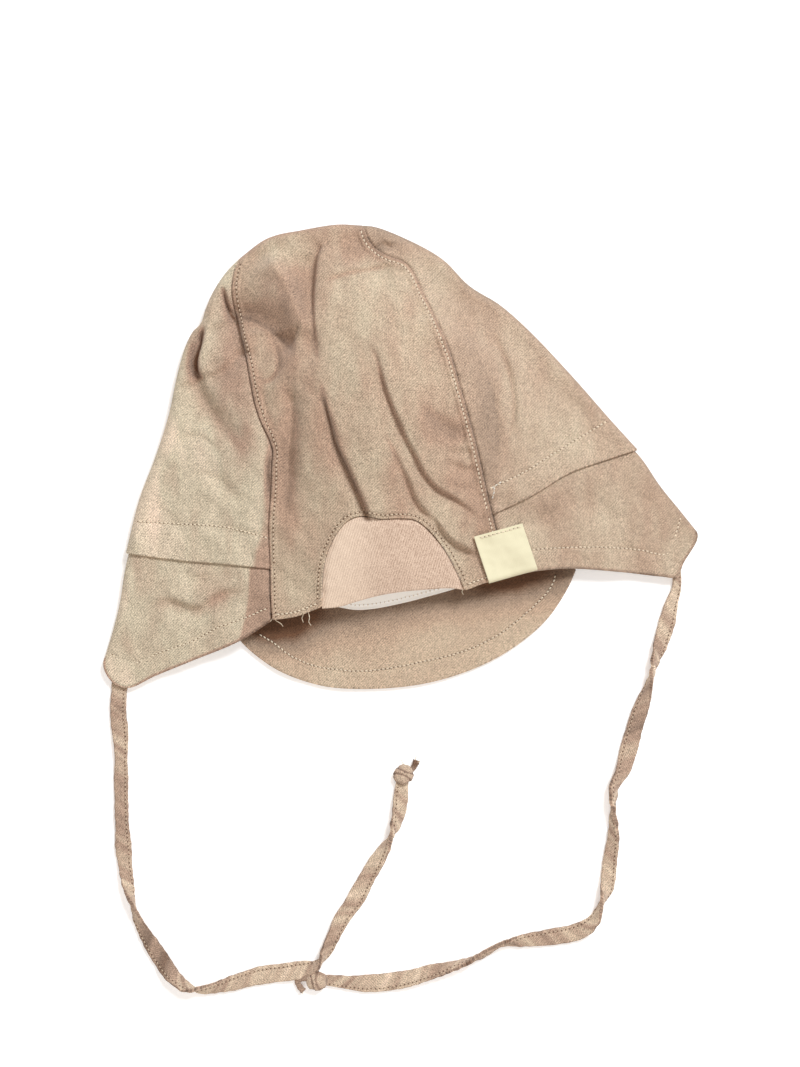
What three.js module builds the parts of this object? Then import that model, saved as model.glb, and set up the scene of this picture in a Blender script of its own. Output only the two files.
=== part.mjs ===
// A baby's sun hat with ear flaps, lying on its front with its back up.
// Millimetres, +Z up. The hat rests on z = 0, and the mouth points to -Y.
import * as THREE from 'three';
import { mergeVertices } from 'three/addons/utils/BufferGeometryUtils.js';

// Driving dimensions
const CLOTH = 1.4;            // wall of the doubled cotton
const GAP = 0.3;              // between two pieces that are sewn together
const BAND_CLOTH = 1.0;       // wall of the inner band
const BAND_WIDTH = 20;        // inner band, from the front hem inwards
const VISOR_THICKNESS = 2.2;
const VISOR_BEVEL = 0.4;      // off each face at the visor's outer edge
const TUCK_OVERLAP = 8;       // how far a flap reaches up under the tuck
const TUCK_RELEASE = 9;       // over this length the flap comes out from under it
const FLAT_HEIGHT = 9;        // upper wall above the floor where nothing lifts it
const RISE_LENGTH = 15;       // from the folded side to the full height
const CROWN_FOLD_RADIUS = 4.4;
const TUCK_FOLD_RADIUS = 4;
const TIP_FOLD_RADIUS = 1.8;
const TIE_WIDTH = 7.2;
const TIE_THICKNESS = 1.5;
const TIE_STEPS = 52;
const LABEL_CLOTH = 0.8;
const LABEL_BACK = 11;        // length of the label's hidden inner leg
const LABEL_PAST_HEM = 1.2;   // how far the label's bend hangs over the hem
const PATCH_INSET = 0.1;      // the patch lies this much lower than the strip

// Colours of the cloth
const COTTON = 0xb09a84;
const JERSEY = 0xc4a596;
const LINING = 0xece8e2;
const LABEL = 0xe6dccb;

// Plan curves, x and y, each list from the hem upwards or from left to right
const SEAM_LEFT_HEM = [[-54, -68.5], [-54.5, -57], [-54.5, -47]];
const SEAM_LEFT_CROWN = [
  [-54.5, -47], [-55.5, -30.5], [-54, -11], [-54.5, 7.5], [-59, 25.5], [-64, 43.5],
  [-69, 60.5], [-70.6, 69.3], [-69.8, 78], [-68, 83.8],
];
const SEAM_RIGHT_HEM = [[45, -51.5], [41, -36], [38, -24.5]];
const SEAM_RIGHT_CROWN = [
  [38, -24.5], [35, -12.5], [30, 7.5], [24.5, 26.5], [19, 45], [10.5, 64.5],
  [2.5, 80], [-6.5, 84], [-12.9, 89.5], [-16.2, 97.6],
];
const FRONT_SEAM_LEFT_HEM = [[-54.5, -67], [-54.5, -57], [-54.5, -47]];
const FRONT_SEAM_LEFT_CROWN = [[-54.5, -47], [-60.5, 20], [-68, 83.8]];
const FRONT_SEAM_RIGHT_HEM = [[44.5, -55], [41, -38], [38, -24.5]];
const FRONT_SEAM_RIGHT_CROWN = [[38, -24.5], [14, 38], [-16.2, 97.6]];
const FOLD_LEFT_FLAP = [[-125.5, -85], [-121.8, -73], [-118.6, -60], [-116.2, -40.5]];
const FOLD_LEFT_CROWN = [
  [-116.2, -40.5], [-110.5, -18], [-103.5, 0.5], [-98, 18], [-94.6, 34], [-91.2, 46],
  [-88, 52.6], [-84.4, 56.4], [-82.6, 62], [-79.4, 69.4], [-73.8, 77.9], [-68, 83.8],
];
const FOLD_TOP = [
  [-68, 83.8], [-58.2, 91.2], [-52.4, 93.6], [-43.6, 95.3], [-27, 98], [-16.2, 97.6],
];
const FOLD_RIGHT_CROWN = [
  [100, 3.2], [88.5, 15.8], [73.3, 33.1], [54.5, 53], [42, 64], [28.9, 72.2],
  [19.3, 82], [12.4, 86.8], [-3.1, 94.3], [-11, 97], [-16.2, 97.6],
];
const FOLD_RIGHT_FLAP = [[125.5, -31.5], [118.5, -22.9], [109.1, -11.3], [100, 3.2]];
const HEM_LEFT_FLAP = [
  [-54.5, -69], [-68, -77.5], [-89.5, -86.5], [-104, -92.5], [-115.5, -97.6],
  [-121.5, -95.5], [-125.2, -90], [-125.5, -85],
];
const HEM_RIGHT_FLAP = [
  [45, -51.8], [57, -48], [71.5, -47], [93, -48.5], [110, -50.4], [116.5, -50.6],
  [119.6, -44.5], [125, -35.5], [125.5, -31.5],
];
const TUCK_LEFT = [[-54.5, -47], [-72.5, -45.2], [-92, -43.6], [-116.2, -40.5]];
const TUCK_RIGHT = [[38, -24.5], [50.5, -21], [65.5, -14.5], [84, -3.5], [100, 3.2]];
const HEM_STRIP_LEFT = [[-54, -68.5], [-44, -67], [-33.4, -63]];
const HEM_STRIP_RIGHT = [[26.9, -56], [35, -53], [45, -51.5]];
const PATCH_ARCH = [
  [-33.2, -62.8], [-32, -47], [-30, -39.5], [-25, -30.5], [-20.5, -26.6], [-15.5, -25.4],
  [-8, -26.7], [-1, -26.4], [5.5, -27], [10.5, -30.2], [18, -39], [22.8, -47.5], [26.7, -55.8],
];
const PATCH_HEM = [[-33.2, -62.8], [-15.5, -57.6], [-3, -55.4], [10, -54.2], [26.7, -55.8]];
const FRONT_HEM_LEFT = [[-54.5, -67], [-90, -76], [-125.5, -85]];
const FRONT_HEM_CROWN = [[-54.5, -67], [-47, -66], [-16, -64], [10, -59.5], [44.5, -55]];
const FRONT_HEM_RIGHT = [[44.5, -55], [85, -43.25], [125.5, -31.5]];
const VISOR_EDGE = [
  [-72, -73], [-63.5, -81.9], [-51.5, -90.3], [-34.5, -96.4], [-17.5, -98.02], [8, -96.1],
  [29, -90.2], [45.5, -81.9], [61, -69.3], [70, -56.3], [73.8, -48],
];

// What lifts or lowers the upper wall: centre, height and how far it spreads
const PUFFS = [
  { name: 'crown', x: -8, y: 24, rise: 24, spreadX: 40, spreadY: 42 },
  { name: 'patch', x: -3, y: -46, rise: 8, spreadX: 20, spreadY: 18 },
  { name: 'tip_left', x: -122, y: -92, rise: -6.2, spreadX: 28, spreadY: 22 },
  { name: 'tip_right', x: 122, y: -40, rise: -6, spreadX: 26, spreadY: 20 },
];

// Creases in the upper wall, from top to bottom. left and right are the widths of
// the slopes on either side, and lip is the height of the roll right of the crease.
const CREASES = [
  { name: 'main', depth: 6.5, left: 9, right: 5.5, lip: 3,
    path: [[-32.7, 91], [-34.3, 76], [-34.1, 60], [-32.6, 39], [-30.8, 22]] },
  { name: 'lower', depth: 5.5, left: 8, right: 5.5, lip: 2.5,
    path: [[-31.6, 17.6], [-27, 5], [-23.1, -3.4], [-14.2, -23.4]] },
  { name: 'long_right', depth: 3.5, left: 6, right: 5, lip: 1.5,
    path: [[-13.8, 47], [-7.3, 34.7], [-2.6, 20], [4.4, 2], [14.4, -13.6], [26.9, -21.6]] },
  { name: 'over_patch', depth: 3, left: 5, right: 5, lip: 1,
    path: [[-6.4, 8.3], [-0.3, -7], [5.4, -19], [16.2, -29.5], [31, -44]] },
  { name: 'shoulder', depth: 4, left: 6, right: 5, lip: 1,
    path: [[-66, 58], [-58, 52.5], [-45.4, 44]] },
  { name: 'pocket', depth: 5.5, left: 5, right: 4, lip: 1,
    path: [[-82, 55], [-85, 41], [-81, 32]] },
  { name: 'pocket_tail', depth: 2.5, left: 6, right: 6, lip: 0.5,
    path: [[-80.5, 24], [-74, 17], [-62, 3.3]] },
  { name: 'beside_left_seam', depth: 2.5, left: 5, right: 5, lip: 0,
    path: [[-44.3, 24.7], [-42, 12], [-43.8, -23]] },
  { name: 'right_panel', depth: 1.8, left: 7, right: 7, lip: 0,
    path: [[39.9, 57.8], [44.5, 32.7], [47.6, 18], [40.2, -3]] },
];

// Rows along the seams, as parts of their length, closer at the folded top
const HEM_SHARE = 0.16;       // of a whole seam, the part between hem and tuck
const HEM_ROWS = [0, 0.25, 0.5, 0.75];
const CROWN_ROWS = 21;
const LAST_CROWN_ROW = 0.925;
const TOP_ROWS = [0.945, 0.962, 0.977, 0.99];
const FRONT_ROW_STEP = 3;     // the front wall has every third row
const SIDE_COLUMNS = 8;
const FRONT_COLUMNS = 2;
const FOLD_MARGIN = 7;        // closer columns start this far from a folded side
const FOLD_COLUMNS = [1, 0.5, 0.16];
const ARCH_FROM = 0.2;        // where the patch starts and ends across the strip
const ARCH_TO = 0.82;
const ARCH_COLUMNS = 12;
const STRIP_HEM_COLUMNS = 3;
const PATCH_ROWS = 5;

// A flap's rows below the tuck, from 1 at the tuck to 0 at the hem. It stays under
// the side panel as far as FLAP_OUT_FROM and then comes out from under it.
const FLAP_OUT_FROM = 0.95;
const FLAP_ROWS = [1, FLAP_OUT_FROM, 0.87, 0.77, 0.66, 0.5, 0.34, 0.17, 0];

// The visor's inner edge: shares of the two flaps' front hems that it covers, and
// how much of the edge lies along them
const VISOR_ON_LEFT = { share: 0.24, part: 0.12 };
const VISOR_ON_RIGHT = { share: 0.35, part: 0.2 };
const VISOR_ROWS = 3;
const VISOR_COLUMNS = 24;
const BAND_ROWS = 2;
const BAND_COLUMNS = 12;
const BAND_END = 0.03;        // the band stops this part of the hem before a seam
const LABEL_LEG_ROWS = 5;
const LABEL_BEND_ROWS = 4;
const LABEL_COLUMNS = 5;

// Centre lines of the ties on the floor, from the flap tip to the knot. flat is 1
// where the tie lies flat and 0 where it stands on its edge in a twist.
const TIE_LEFT = [
  { x: -119, y: -94.8, flat: 1 }, { x: -119.8, y: -106, flat: 0.98 }, { x: -120, y: -117, flat: 1 },
  { x: -119.5, y: -131, flat: 0.9 }, { x: -119.5, y: -146, flat: 1 }, { x: -118, y: -167, flat: 1 },
  { x: -115.5, y: -182, flat: 0.7 }, { x: -112.5, y: -192.5, flat: 0.5 },
  { x: -106.5, y: -205.5, flat: 0.9 }, { x: -99, y: -217, flat: 1 }, { x: -89.5, y: -224.5, flat: 0.8 },
  { x: -79, y: -225.8, flat: 1 }, { x: -62, y: -222.5, flat: 1 }, { x: -46.5, y: -218.5, flat: 0.9 },
  { x: -37.5, y: -213.8, flat: 0.8 }, { x: -31.5, y: -207, flat: 0.9 }, { x: -26, y: -198, flat: 1 },
  { x: -20.5, y: -188.5, flat: 1 }, { x: -15, y: -178, flat: 1 }, { x: -9.5, y: -170, flat: 0.8 },
  { x: -4.5, y: -162, flat: 0.4 }, { x: -1.2, y: -153, flat: 0.9 }, { x: 0, y: -145, flat: 1 },
  { x: 0.4, y: -139.6, flat: 0.9 },
];
const TIE_RIGHT = [
  { x: 118.6, y: -46.8, flat: 1 }, { x: 114.5, y: -60, flat: 0.98 }, { x: 108, y: -82, flat: 1 },
  { x: 105.5, y: -95, flat: 0.4 }, { x: 100, y: -112, flat: 0.9 }, { x: 94.5, y: -129, flat: 1 },
  { x: 90.5, y: -141, flat: 0.9 }, { x: 89.5, y: -154.5, flat: 0.5 }, { x: 88.5, y: -167, flat: 1 },
  { x: 88, y: -179, flat: 0.9 }, { x: 84.5, y: -190.5, flat: 0.8 }, { x: 77.5, y: -198.5, flat: 0.8 },
  { x: 67.5, y: -202.5, flat: 1 }, { x: 57, y: -205.5, flat: 1 }, { x: 45.5, y: -206.5, flat: 0.6 },
  { x: 36.5, y: -210, flat: 0.5 }, { x: 27.5, y: -214, flat: 0.6 }, { x: 16.5, y: -217.2, flat: 0.6 },
  { x: 6, y: -220.5, flat: 0.9 }, { x: -6, y: -223, flat: 1 }, { x: -16.5, y: -223.6, flat: 1 },
  { x: -25, y: -223, flat: 0.9 }, { x: -30.2, y: -222.8, flat: 0.8 },
];
// A knot is a lump with a short tail: distance along it, half width and height
const KNOT_SECTIONS = [
  { along: -3.6, half: 2.0, height: 2.4 }, { along: -2.6, half: 3.3, height: 4.2 },
  { along: -0.4, half: 4.1, height: 5.2 }, { along: 2.0, half: 3.6, height: 4.6 },
  { along: 3.4, half: 2.2, height: 2.6 }, { along: 5.0, half: 2.3, height: 1.6 },
  { along: 8.2, half: 2.6, height: 1.2 },
];
const KNOT_LEFT = { x: 0.7, y: -134.9, towardsX: 6.6, towardsY: -129.6 };
const KNOT_RIGHT = { x: -34.9, y: -223.2, towardsX: -43, towardsY: -225 };

const LABEL_TOP_LEFT = [30.7, -34.2];
const LABEL_TOP_RIGHT = [48.9, -28.8];
const LABEL_BOTTOM_LEFT = [38, -54.3];
const LABEL_FOLD_RADIUS = 2.2;

const lerp = THREE.MathUtils.lerp;
const clamp = THREE.MathUtils.clamp;

function planCurve(points) {
  const vectors = points.map(([x, y]) => new THREE.Vector3(x, y, 0));
  const curve = new THREE.CatmullRomCurve3(vectors, false, 'centripetal');
  curve.arcLengthDivisions = 400;
  return (part) => curve.getPointAt(clamp(part, 0, 1));
}

const seamLeftHem = planCurve(SEAM_LEFT_HEM);
const seamLeft = planCurve(SEAM_LEFT_CROWN);
const seamRightHem = planCurve(SEAM_RIGHT_HEM);
const seamRight = planCurve(SEAM_RIGHT_CROWN);
const frontSeamLeftHem = planCurve(FRONT_SEAM_LEFT_HEM);
const frontSeamLeft = planCurve(FRONT_SEAM_LEFT_CROWN);
const frontSeamRightHem = planCurve(FRONT_SEAM_RIGHT_HEM);
const frontSeamRight = planCurve(FRONT_SEAM_RIGHT_CROWN);
const foldTop = planCurve(FOLD_TOP);

// The folded side of the hat: one line of plan points with the fold's radius and
// the direction into the hat at each of them
function foldedSide() {
  const spans = [
    { points: FOLD_LEFT_FLAP, from: TIP_FOLD_RADIUS, to: TUCK_FOLD_RADIUS },
    { points: FOLD_LEFT_CROWN, from: TUCK_FOLD_RADIUS, to: CROWN_FOLD_RADIUS },
    { points: FOLD_TOP, from: CROWN_FOLD_RADIUS, to: CROWN_FOLD_RADIUS },
    { points: [...FOLD_RIGHT_CROWN].reverse(), from: CROWN_FOLD_RADIUS, to: TUCK_FOLD_RADIUS },
    { points: [...FOLD_RIGHT_FLAP].reverse(), from: TUCK_FOLD_RADIUS, to: TIP_FOLD_RADIUS },
  ];
  const steps = 40;
  const line = [];
  spans.forEach((span, index) => {
    const curve = planCurve(span.points);
    for (let i = index === 0 ? 0 : 1; i <= steps; i += 1) {
      const point = curve(i / steps);
      line.push({ x: point.x, y: point.y, radius: lerp(span.from, span.to, i / steps) });
    }
  });
  return line.map((point, i) => {
    const before = line[Math.max(i - 1, 0)];
    const after = line[Math.min(i + 1, line.length - 1)];
    const dx = after.x - before.x;
    const dy = after.y - before.y;
    const length = Math.hypot(dx, dy);
    return { ...point, inX: dy / length, inY: -dx / length };
  });
}

function nearestOnLine(line, x, y) {
  let best = { distance: Infinity };
  for (let i = 0; i + 1 < line.length; i += 1) {
    const a = line[i];
    const b = line[i + 1];
    const dx = b.x - a.x;
    const dy = b.y - a.y;
    const part = clamp(((x - a.x) * dx + (y - a.y) * dy) / (dx * dx + dy * dy), 0, 1);
    const offX = x - a.x - dx * part;
    const offY = y - a.y - dy * part;
    const distance = Math.hypot(offX, offY);
    if (distance < best.distance) {
      best = { distance, index: i, part, side: Math.sign(dy * offX - dx * offY) };
    }
  }
  return best;
}

const sideLine = foldedSide();
const creases = CREASES.map((crease) => {
  const curve = planCurve(crease.path);
  const steps = 24;
  const line = Array.from({ length: steps + 1 }, (_, i) => curve(i / steps));
  return { ...crease, line };
});

// The crease's valley, with a roll on its right, fading towards both ends
function creaseDepth(crease, x, y) {
  const near = nearestOnLine(crease.line, x, y);
  const along = (near.index + near.part) / (crease.line.length - 1);
  const fade = Math.sin(Math.PI * clamp(0.12 + 0.76 * along, 0, 1)) ** 0.6;
  // the paths run down the page, so a positive distance is to their right on it
  const across = -near.side * near.distance;
  const width = across < 0 ? crease.left : crease.right;
  const valley = -crease.depth * Math.exp(-((across / width) ** 2));
  const rollAt = crease.right * 1.9;
  const roll = crease.lip * Math.exp(-(((across - rollAt) / (crease.right * 1.3)) ** 2));
  return fade * (valley + roll);
}

function upperHeight(x, y) {
  const lift = PUFFS.reduce((sum, puff) => {
    const away = ((x - puff.x) / puff.spreadX) ** 2 + ((y - puff.y) / puff.spreadY) ** 2;
    return sum + puff.rise * Math.exp(-away / 2);
  }, 0);
  const fold = creases.reduce((sum, crease) => sum + creaseDepth(crease, x, y), 0);
  return FLAT_HEIGHT + lift + fold;
}

// A point of the wall over a plan point. The upper and lower walls meet in a round
// fold at the hat's side, and inset moves the point into the cloth from the outside.
function wallPoint(plan, upper, inset) {
  const near = nearestOnLine(sideLine, plan.x, plan.y);
  const a = sideLine[near.index];
  const b = sideLine[near.index + 1];
  const radius = lerp(a.radius, b.radius, near.part);
  const inX = lerp(a.inX, b.inX, near.part);
  const inY = lerp(a.inY, b.inY, near.part);
  const cos = 1 - Math.min(near.distance / radius, 1);
  const sin = Math.sqrt(1 - cos * cos);
  const past = Math.max(near.distance - radius, 0) / RISE_LENGTH;
  const risen = 1 - Math.exp(-past * past);
  const top = radius + radius * sin + risen * (upperHeight(plan.x, plan.y) - 2 * radius);
  const bottom = radius - radius * sin;
  const z = upper ? top - inset * sin : bottom + inset * sin;
  return new THREE.Vector3(plan.x + inX * inset * cos, plan.y + inY * inset * cos, z);
}

// One closed body between an outer and an inner grid of points
function closedSheet(rows, columns, place) {
  const positions = [];
  [0, 1].forEach((face) => {
    for (let i = 0; i <= rows; i += 1) {
      for (let j = 0; j <= columns; j += 1) {
        positions.push(...place(i, j, face).toArray());
      }
    }
  });
  const stride = columns + 1;
  const inner = (rows + 1) * stride;
  const index = [];
  const quad = (a, b, c, d) => index.push(a, b, c, a, c, d);
  for (let i = 0; i < rows; i += 1) {
    for (let j = 0; j < columns; j += 1) {
      const at = i * stride + j;
      quad(at, at + 1, at + stride + 1, at + stride);
      quad(inner + at, inner + at + stride, inner + at + stride + 1, inner + at + 1);
    }
  }
  for (let j = 0; j < columns; j += 1) {
    const last = rows * stride + j;
    quad(j, inner + j, inner + j + 1, j + 1);
    quad(last, last + 1, inner + last + 1, inner + last);
  }
  for (let i = 0; i < rows; i += 1) {
    const at = i * stride;
    const far = at + columns;
    quad(at, at + stride, inner + at + stride, inner + at);
    quad(far, inner + far, inner + far + stride, far + stride);
  }
  return closedGeometry(positions, index);
}

function closedGeometry(positions, index) {
  const raw = new THREE.BufferGeometry();
  raw.setAttribute('position', new THREE.Float32BufferAttribute(positions, 3));
  raw.setIndex(index);
  const merged = mergeVertices(raw, 1e-3);
  const kept = [];
  const corners = merged.index.array;
  const point = (i) => new THREE.Vector3().fromBufferAttribute(merged.attributes.position, i);
  let volume = 0;
  for (let i = 0; i < corners.length; i += 3) {
    const [a, b, c] = [corners[i], corners[i + 1], corners[i + 2]];
    if (a !== b && b !== c && a !== c) {
      kept.push(a, b, c);
      volume += point(a).dot(point(b).cross(point(c)));
    }
  }
  merged.setIndex(volume < 0 ? kept.reverse() : kept);
  merged.computeVertexNormals();
  return merged;
}

function piece(name, geometry, colour, roughness = 0.9) {
  const material = new THREE.MeshStandardMaterial({ color: colour, roughness, metalness: 0 });
  const mesh = new THREE.Mesh(geometry, material);
  mesh.name = name;
  return mesh;
}

// A plan point of a four-sided field between four border curves
function between(bottom, top, left, right, across, along) {
  const corner = (u, v) => (u === 0 ? left(v) : right(v));
  const sum = bottom(across).multiplyScalar(1 - along);
  sum.addScaledVector(top(across), along);
  sum.addScaledVector(left(along), 1 - across);
  sum.addScaledVector(right(along), across);
  sum.addScaledVector(corner(0, 0), -(1 - across) * (1 - along));
  sum.addScaledVector(corner(1, 0), -across * (1 - along));
  sum.addScaledVector(corner(0, 1), -(1 - across) * along);
  sum.addScaledVector(corner(1, 1), -across * along);
  return sum;
}

// Two curves after each other as one, the first taking share of the length
function joined(first, second, share) {
  return (part) => (part < share ? first(part / share) : second((part - share) / (1 - share)));
}

const wholeSeam = (hem, crown) => joined(hem, crown, HEM_SHARE);

function stripBottom() {
  const hemLeft = planCurve(HEM_STRIP_LEFT);
  const hemRight = planCurve(HEM_STRIP_RIGHT);
  const arch = planCurve(PATCH_ARCH);
  const middle = new THREE.Vector3(-4, -60, 0);
  const outside = (part) => {
    const point = arch(part);
    return point.add(point.clone().sub(middle).setLength(GAP));
  };
  return (across) => {
    if (across <= ARCH_FROM) {
      return hemLeft(across / ARCH_FROM);
    }
    if (across >= ARCH_TO) {
      return hemRight((across - ARCH_TO) / (1 - ARCH_TO));
    }
    return outside((across - ARCH_FROM) / (ARCH_TO - ARCH_FROM));
  };
}

// Rows from the tuck to just below the folded top
function crownRows(step) {
  const rows = [];
  for (let i = 0; i <= CROWN_ROWS; i += step) {
    rows.push((i / CROWN_ROWS) * LAST_CROWN_ROW);
  }
  return [...rows, ...TOP_ROWS];
}

function crownCenter() {
  const share = (part) => HEM_SHARE + (1 - HEM_SHARE) * part;
  const rising = HEM_ROWS.map((part) => part * HEM_SHARE);
  rising.push(...crownRows(1).map(share));
  const falling = crownRows(FRONT_ROW_STEP).reverse().map(share);
  falling.push(HEM_SHARE / 2, 0);
  const rows = [
    ...rising.map((along) => ({ along, upper: true })),
    { along: 1, upper: true },
    ...falling.map((along) => ({ along, upper: false })),
  ];
  const columns = [];
  for (let j = 0; j < STRIP_HEM_COLUMNS; j += 1) {
    columns.push((ARCH_FROM * j) / STRIP_HEM_COLUMNS);
  }
  for (let j = 0; j < ARCH_COLUMNS; j += 1) {
    columns.push(lerp(ARCH_FROM, ARCH_TO, j / ARCH_COLUMNS));
  }
  for (let j = 0; j <= STRIP_HEM_COLUMNS; j += 1) {
    columns.push(lerp(ARCH_TO, 1, j / STRIP_HEM_COLUMNS));
  }
  const backLeft = wholeSeam(seamLeftHem, seamLeft);
  const backRight = wholeSeam(seamRightHem, seamRight);
  const frontLeft = wholeSeam(frontSeamLeftHem, frontSeamLeft);
  const frontRight = wholeSeam(frontSeamRightHem, frontSeamRight);
  const backBottom = stripBottom();
  const frontBottom = planCurve(FRONT_HEM_CROWN);
  const geometry = closedSheet(rows.length - 1, columns.length - 1, (i, j, face) => {
    const { along, upper } = rows[i];
    const left = upper ? backLeft : frontLeft;
    const right = upper ? backRight : frontRight;
    const edge = GAP / 2 / left(along).distanceTo(right(along));
    const across = lerp(edge, 1 - edge, columns[j]);
    const bottom = upper ? backBottom : frontBottom;
    const plan = between(bottom, foldTop, left, right, across, along);
    return wallPoint(plan, upper, face * CLOTH);
  });
  return piece('crown_center', geometry, COTTON);
}

// Columns of a folded panel: over the upper wall to the fold and back below it
function foldedColumns(length) {
  const margin = Math.min(FOLD_MARGIN / length, 0.5);
  const start = GAP / 2 / length;
  const near = FOLD_COLUMNS.map((part) => 1 - margin * part);
  const over = [];
  for (let j = 0; j < SIDE_COLUMNS; j += 1) {
    over.push({ across: lerp(start, 1 - margin, j / SIDE_COLUMNS), upper: true });
  }
  near.forEach((across) => over.push({ across, upper: true }));
  over.push({ across: 1, upper: true });
  near.reverse().forEach((across) => over.push({ across, upper: false }));
  for (let j = FRONT_COLUMNS - 1; j >= 0; j -= 1) {
    over.push({ across: lerp(start, 1 - margin, j / FRONT_COLUMNS), upper: false });
  }
  return over;
}

// The plan of a side panel's row, which follows the tuck at the bottom
function sidePlan(side, upper, across, along) {
  const seam = upper ? side.seam(along) : side.frontSeam(along);
  const fold = side.crownFold(along);
  const straight = seam.clone().lerp(fold, across);
  const tuckStraight = side.tuck(0).lerp(side.tuck(1), across);
  const bend = side.tuck(across).sub(tuckStraight);
  return straight.addScaledVector(bend, (1 - along) ** 2);
}

function sidePanel(name, side) {
  const rows = crownRows(1);
  const columnCount = foldedColumns(1).length - 1;
  const geometry = closedSheet(rows.length - 1, columnCount, (i, j, face) => {
    const along = rows[i];
    const length = side.seam(along).distanceTo(side.crownFold(along));
    const { across, upper } = foldedColumns(length)[j];
    const plan = sidePlan(side, upper, across, along);
    return wallPoint(plan, upper, face * CLOTH);
  });
  return piece(name, geometry, COTTON);
}

// A flap starts under the tuck, comes out from under it and ends at its hem
function earFlap(name, side) {
  const under = TUCK_OVERLAP / side.seamLength;
  const nested = CLOTH + GAP;
  const rows = [
    { kind: 'side', along: under, inset: nested },
    { kind: 'side', along: under / 2, inset: nested },
  ];
  FLAP_ROWS.forEach((along) => {
    const out = clamp(((FLAP_OUT_FROM - along) * side.flapLength) / TUCK_RELEASE, 0, 1);
    rows.push({ kind: 'flap', along, inset: nested * (1 - out) * (1 - out) });
  });
  const columnCount = foldedColumns(1).length - 1;
  const geometry = closedSheet(rows.length - 1, columnCount, (i, j, face) => {
    const { kind, along, inset } = rows[i];
    const seamPoint = kind === 'side' ? side.seam(along) : side.hemSeam(along);
    const foldPoint = kind === 'side' ? side.crownFold(along) : side.flapFold(along);
    const { across, upper } = foldedColumns(seamPoint.distanceTo(foldPoint))[j];
    const hem = upper ? side.hem : side.frontHem;
    const seam = upper ? side.hemSeam : side.frontHemSeam;
    const plan = kind === 'side'
      ? sidePlan(side, upper, across, along)
      : between(hem, side.tuck, seam, side.flapFold, across, along);
    return wallPoint(plan, upper, inset + face * CLOTH);
  });
  return piece(name, geometry, COTTON);
}

const leftSide = {
  seam: seamLeft,
  seamLength: 133,
  crownFold: planCurve(FOLD_LEFT_CROWN),
  flapFold: planCurve(FOLD_LEFT_FLAP),
  flapLength: 32,
  tuck: planCurve(TUCK_LEFT),
  hem: planCurve(HEM_LEFT_FLAP),
  frontSeam: frontSeamLeft,
  hemSeam: seamLeftHem,
  frontHem: planCurve(FRONT_HEM_LEFT),
  frontHemSeam: frontSeamLeftHem,
};
const rightSide = {
  seam: seamRight,
  seamLength: 136,
  crownFold: planCurve(FOLD_RIGHT_CROWN),
  flapFold: planCurve(FOLD_RIGHT_FLAP),
  flapLength: 34,
  tuck: planCurve(TUCK_RIGHT),
  hem: planCurve(HEM_RIGHT_FLAP),
  frontSeam: frontSeamRight,
  hemSeam: seamRightHem,
  frontHem: planCurve(FRONT_HEM_RIGHT),
  frontHemSeam: frontSeamRightHem,
};

// The jersey patch fills the arch in the back hem
function backPatch() {
  const arch = planCurve(PATCH_ARCH);
  const hem = planCurve(PATCH_HEM);
  const geometry = closedSheet(PATCH_ROWS, ARCH_COLUMNS, (i, j, face) => {
    const top = arch(j / ARCH_COLUMNS);
    const bottom = hem((top.x - arch(0).x) / (arch(1).x - arch(0).x));
    const plan = bottom.lerp(top, i / PATCH_ROWS);
    return wallPoint(plan, true, PATCH_INSET + face * CLOTH);
  });
  return piece('back_patch', geometry, JERSEY);
}

// The visor lies flat in front of the front hem, its lower side up
function visor() {
  const left = planCurve(FRONT_HEM_LEFT);
  const right = planCurve(FRONT_HEM_RIGHT);
  const crown = planCurve(FRONT_HEM_CROWN);
  const outer = planCurve(VISOR_EDGE);
  const crownPart = 1 - VISOR_ON_LEFT.part - VISOR_ON_RIGHT.part;
  const inner = (part) => {
    const onCrown = (part - VISOR_ON_LEFT.part) / crownPart;
    if (onCrown < 0) {
      return left(VISOR_ON_LEFT.share * (1 - part / VISOR_ON_LEFT.part));
    }
    if (onCrown > 1) {
      return right(VISOR_ON_RIGHT.share * (1 - (1 - part) / VISOR_ON_RIGHT.part));
    }
    return crown(onCrown);
  };
  const geometry = closedSheet(VISOR_ROWS, VISOR_COLUMNS, (i, j, face) => {
    const part = j / VISOR_COLUMNS;
    const near = inner(part);
    near.y -= 2 * GAP;
    const plan = near.lerp(outer(part), i / VISOR_ROWS);
    const edge = i === VISOR_ROWS ? VISOR_BEVEL : 0;
    return new THREE.Vector3(plan.x, plan.y, face === 0 ? edge : VISOR_THICKNESS - edge);
  });
  return piece('visor', geometry, COTTON);
}

// The white band lines the front hem inside the mouth
function innerBand() {
  const hem = planCurve(FRONT_HEM_CROWN);
  const floor = CLOTH + GAP;
  const geometry = closedSheet(BAND_ROWS, BAND_COLUMNS, (i, j, face) => {
    const plan = hem(lerp(BAND_END, 1 - BAND_END, j / BAND_COLUMNS));
    plan.y += 2 * GAP + (BAND_WIDTH * i) / BAND_ROWS;
    return new THREE.Vector3(plan.x, plan.y, floor + face * BAND_CLOTH);
  });
  return piece('inner_band', geometry, LINING);
}

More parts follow.
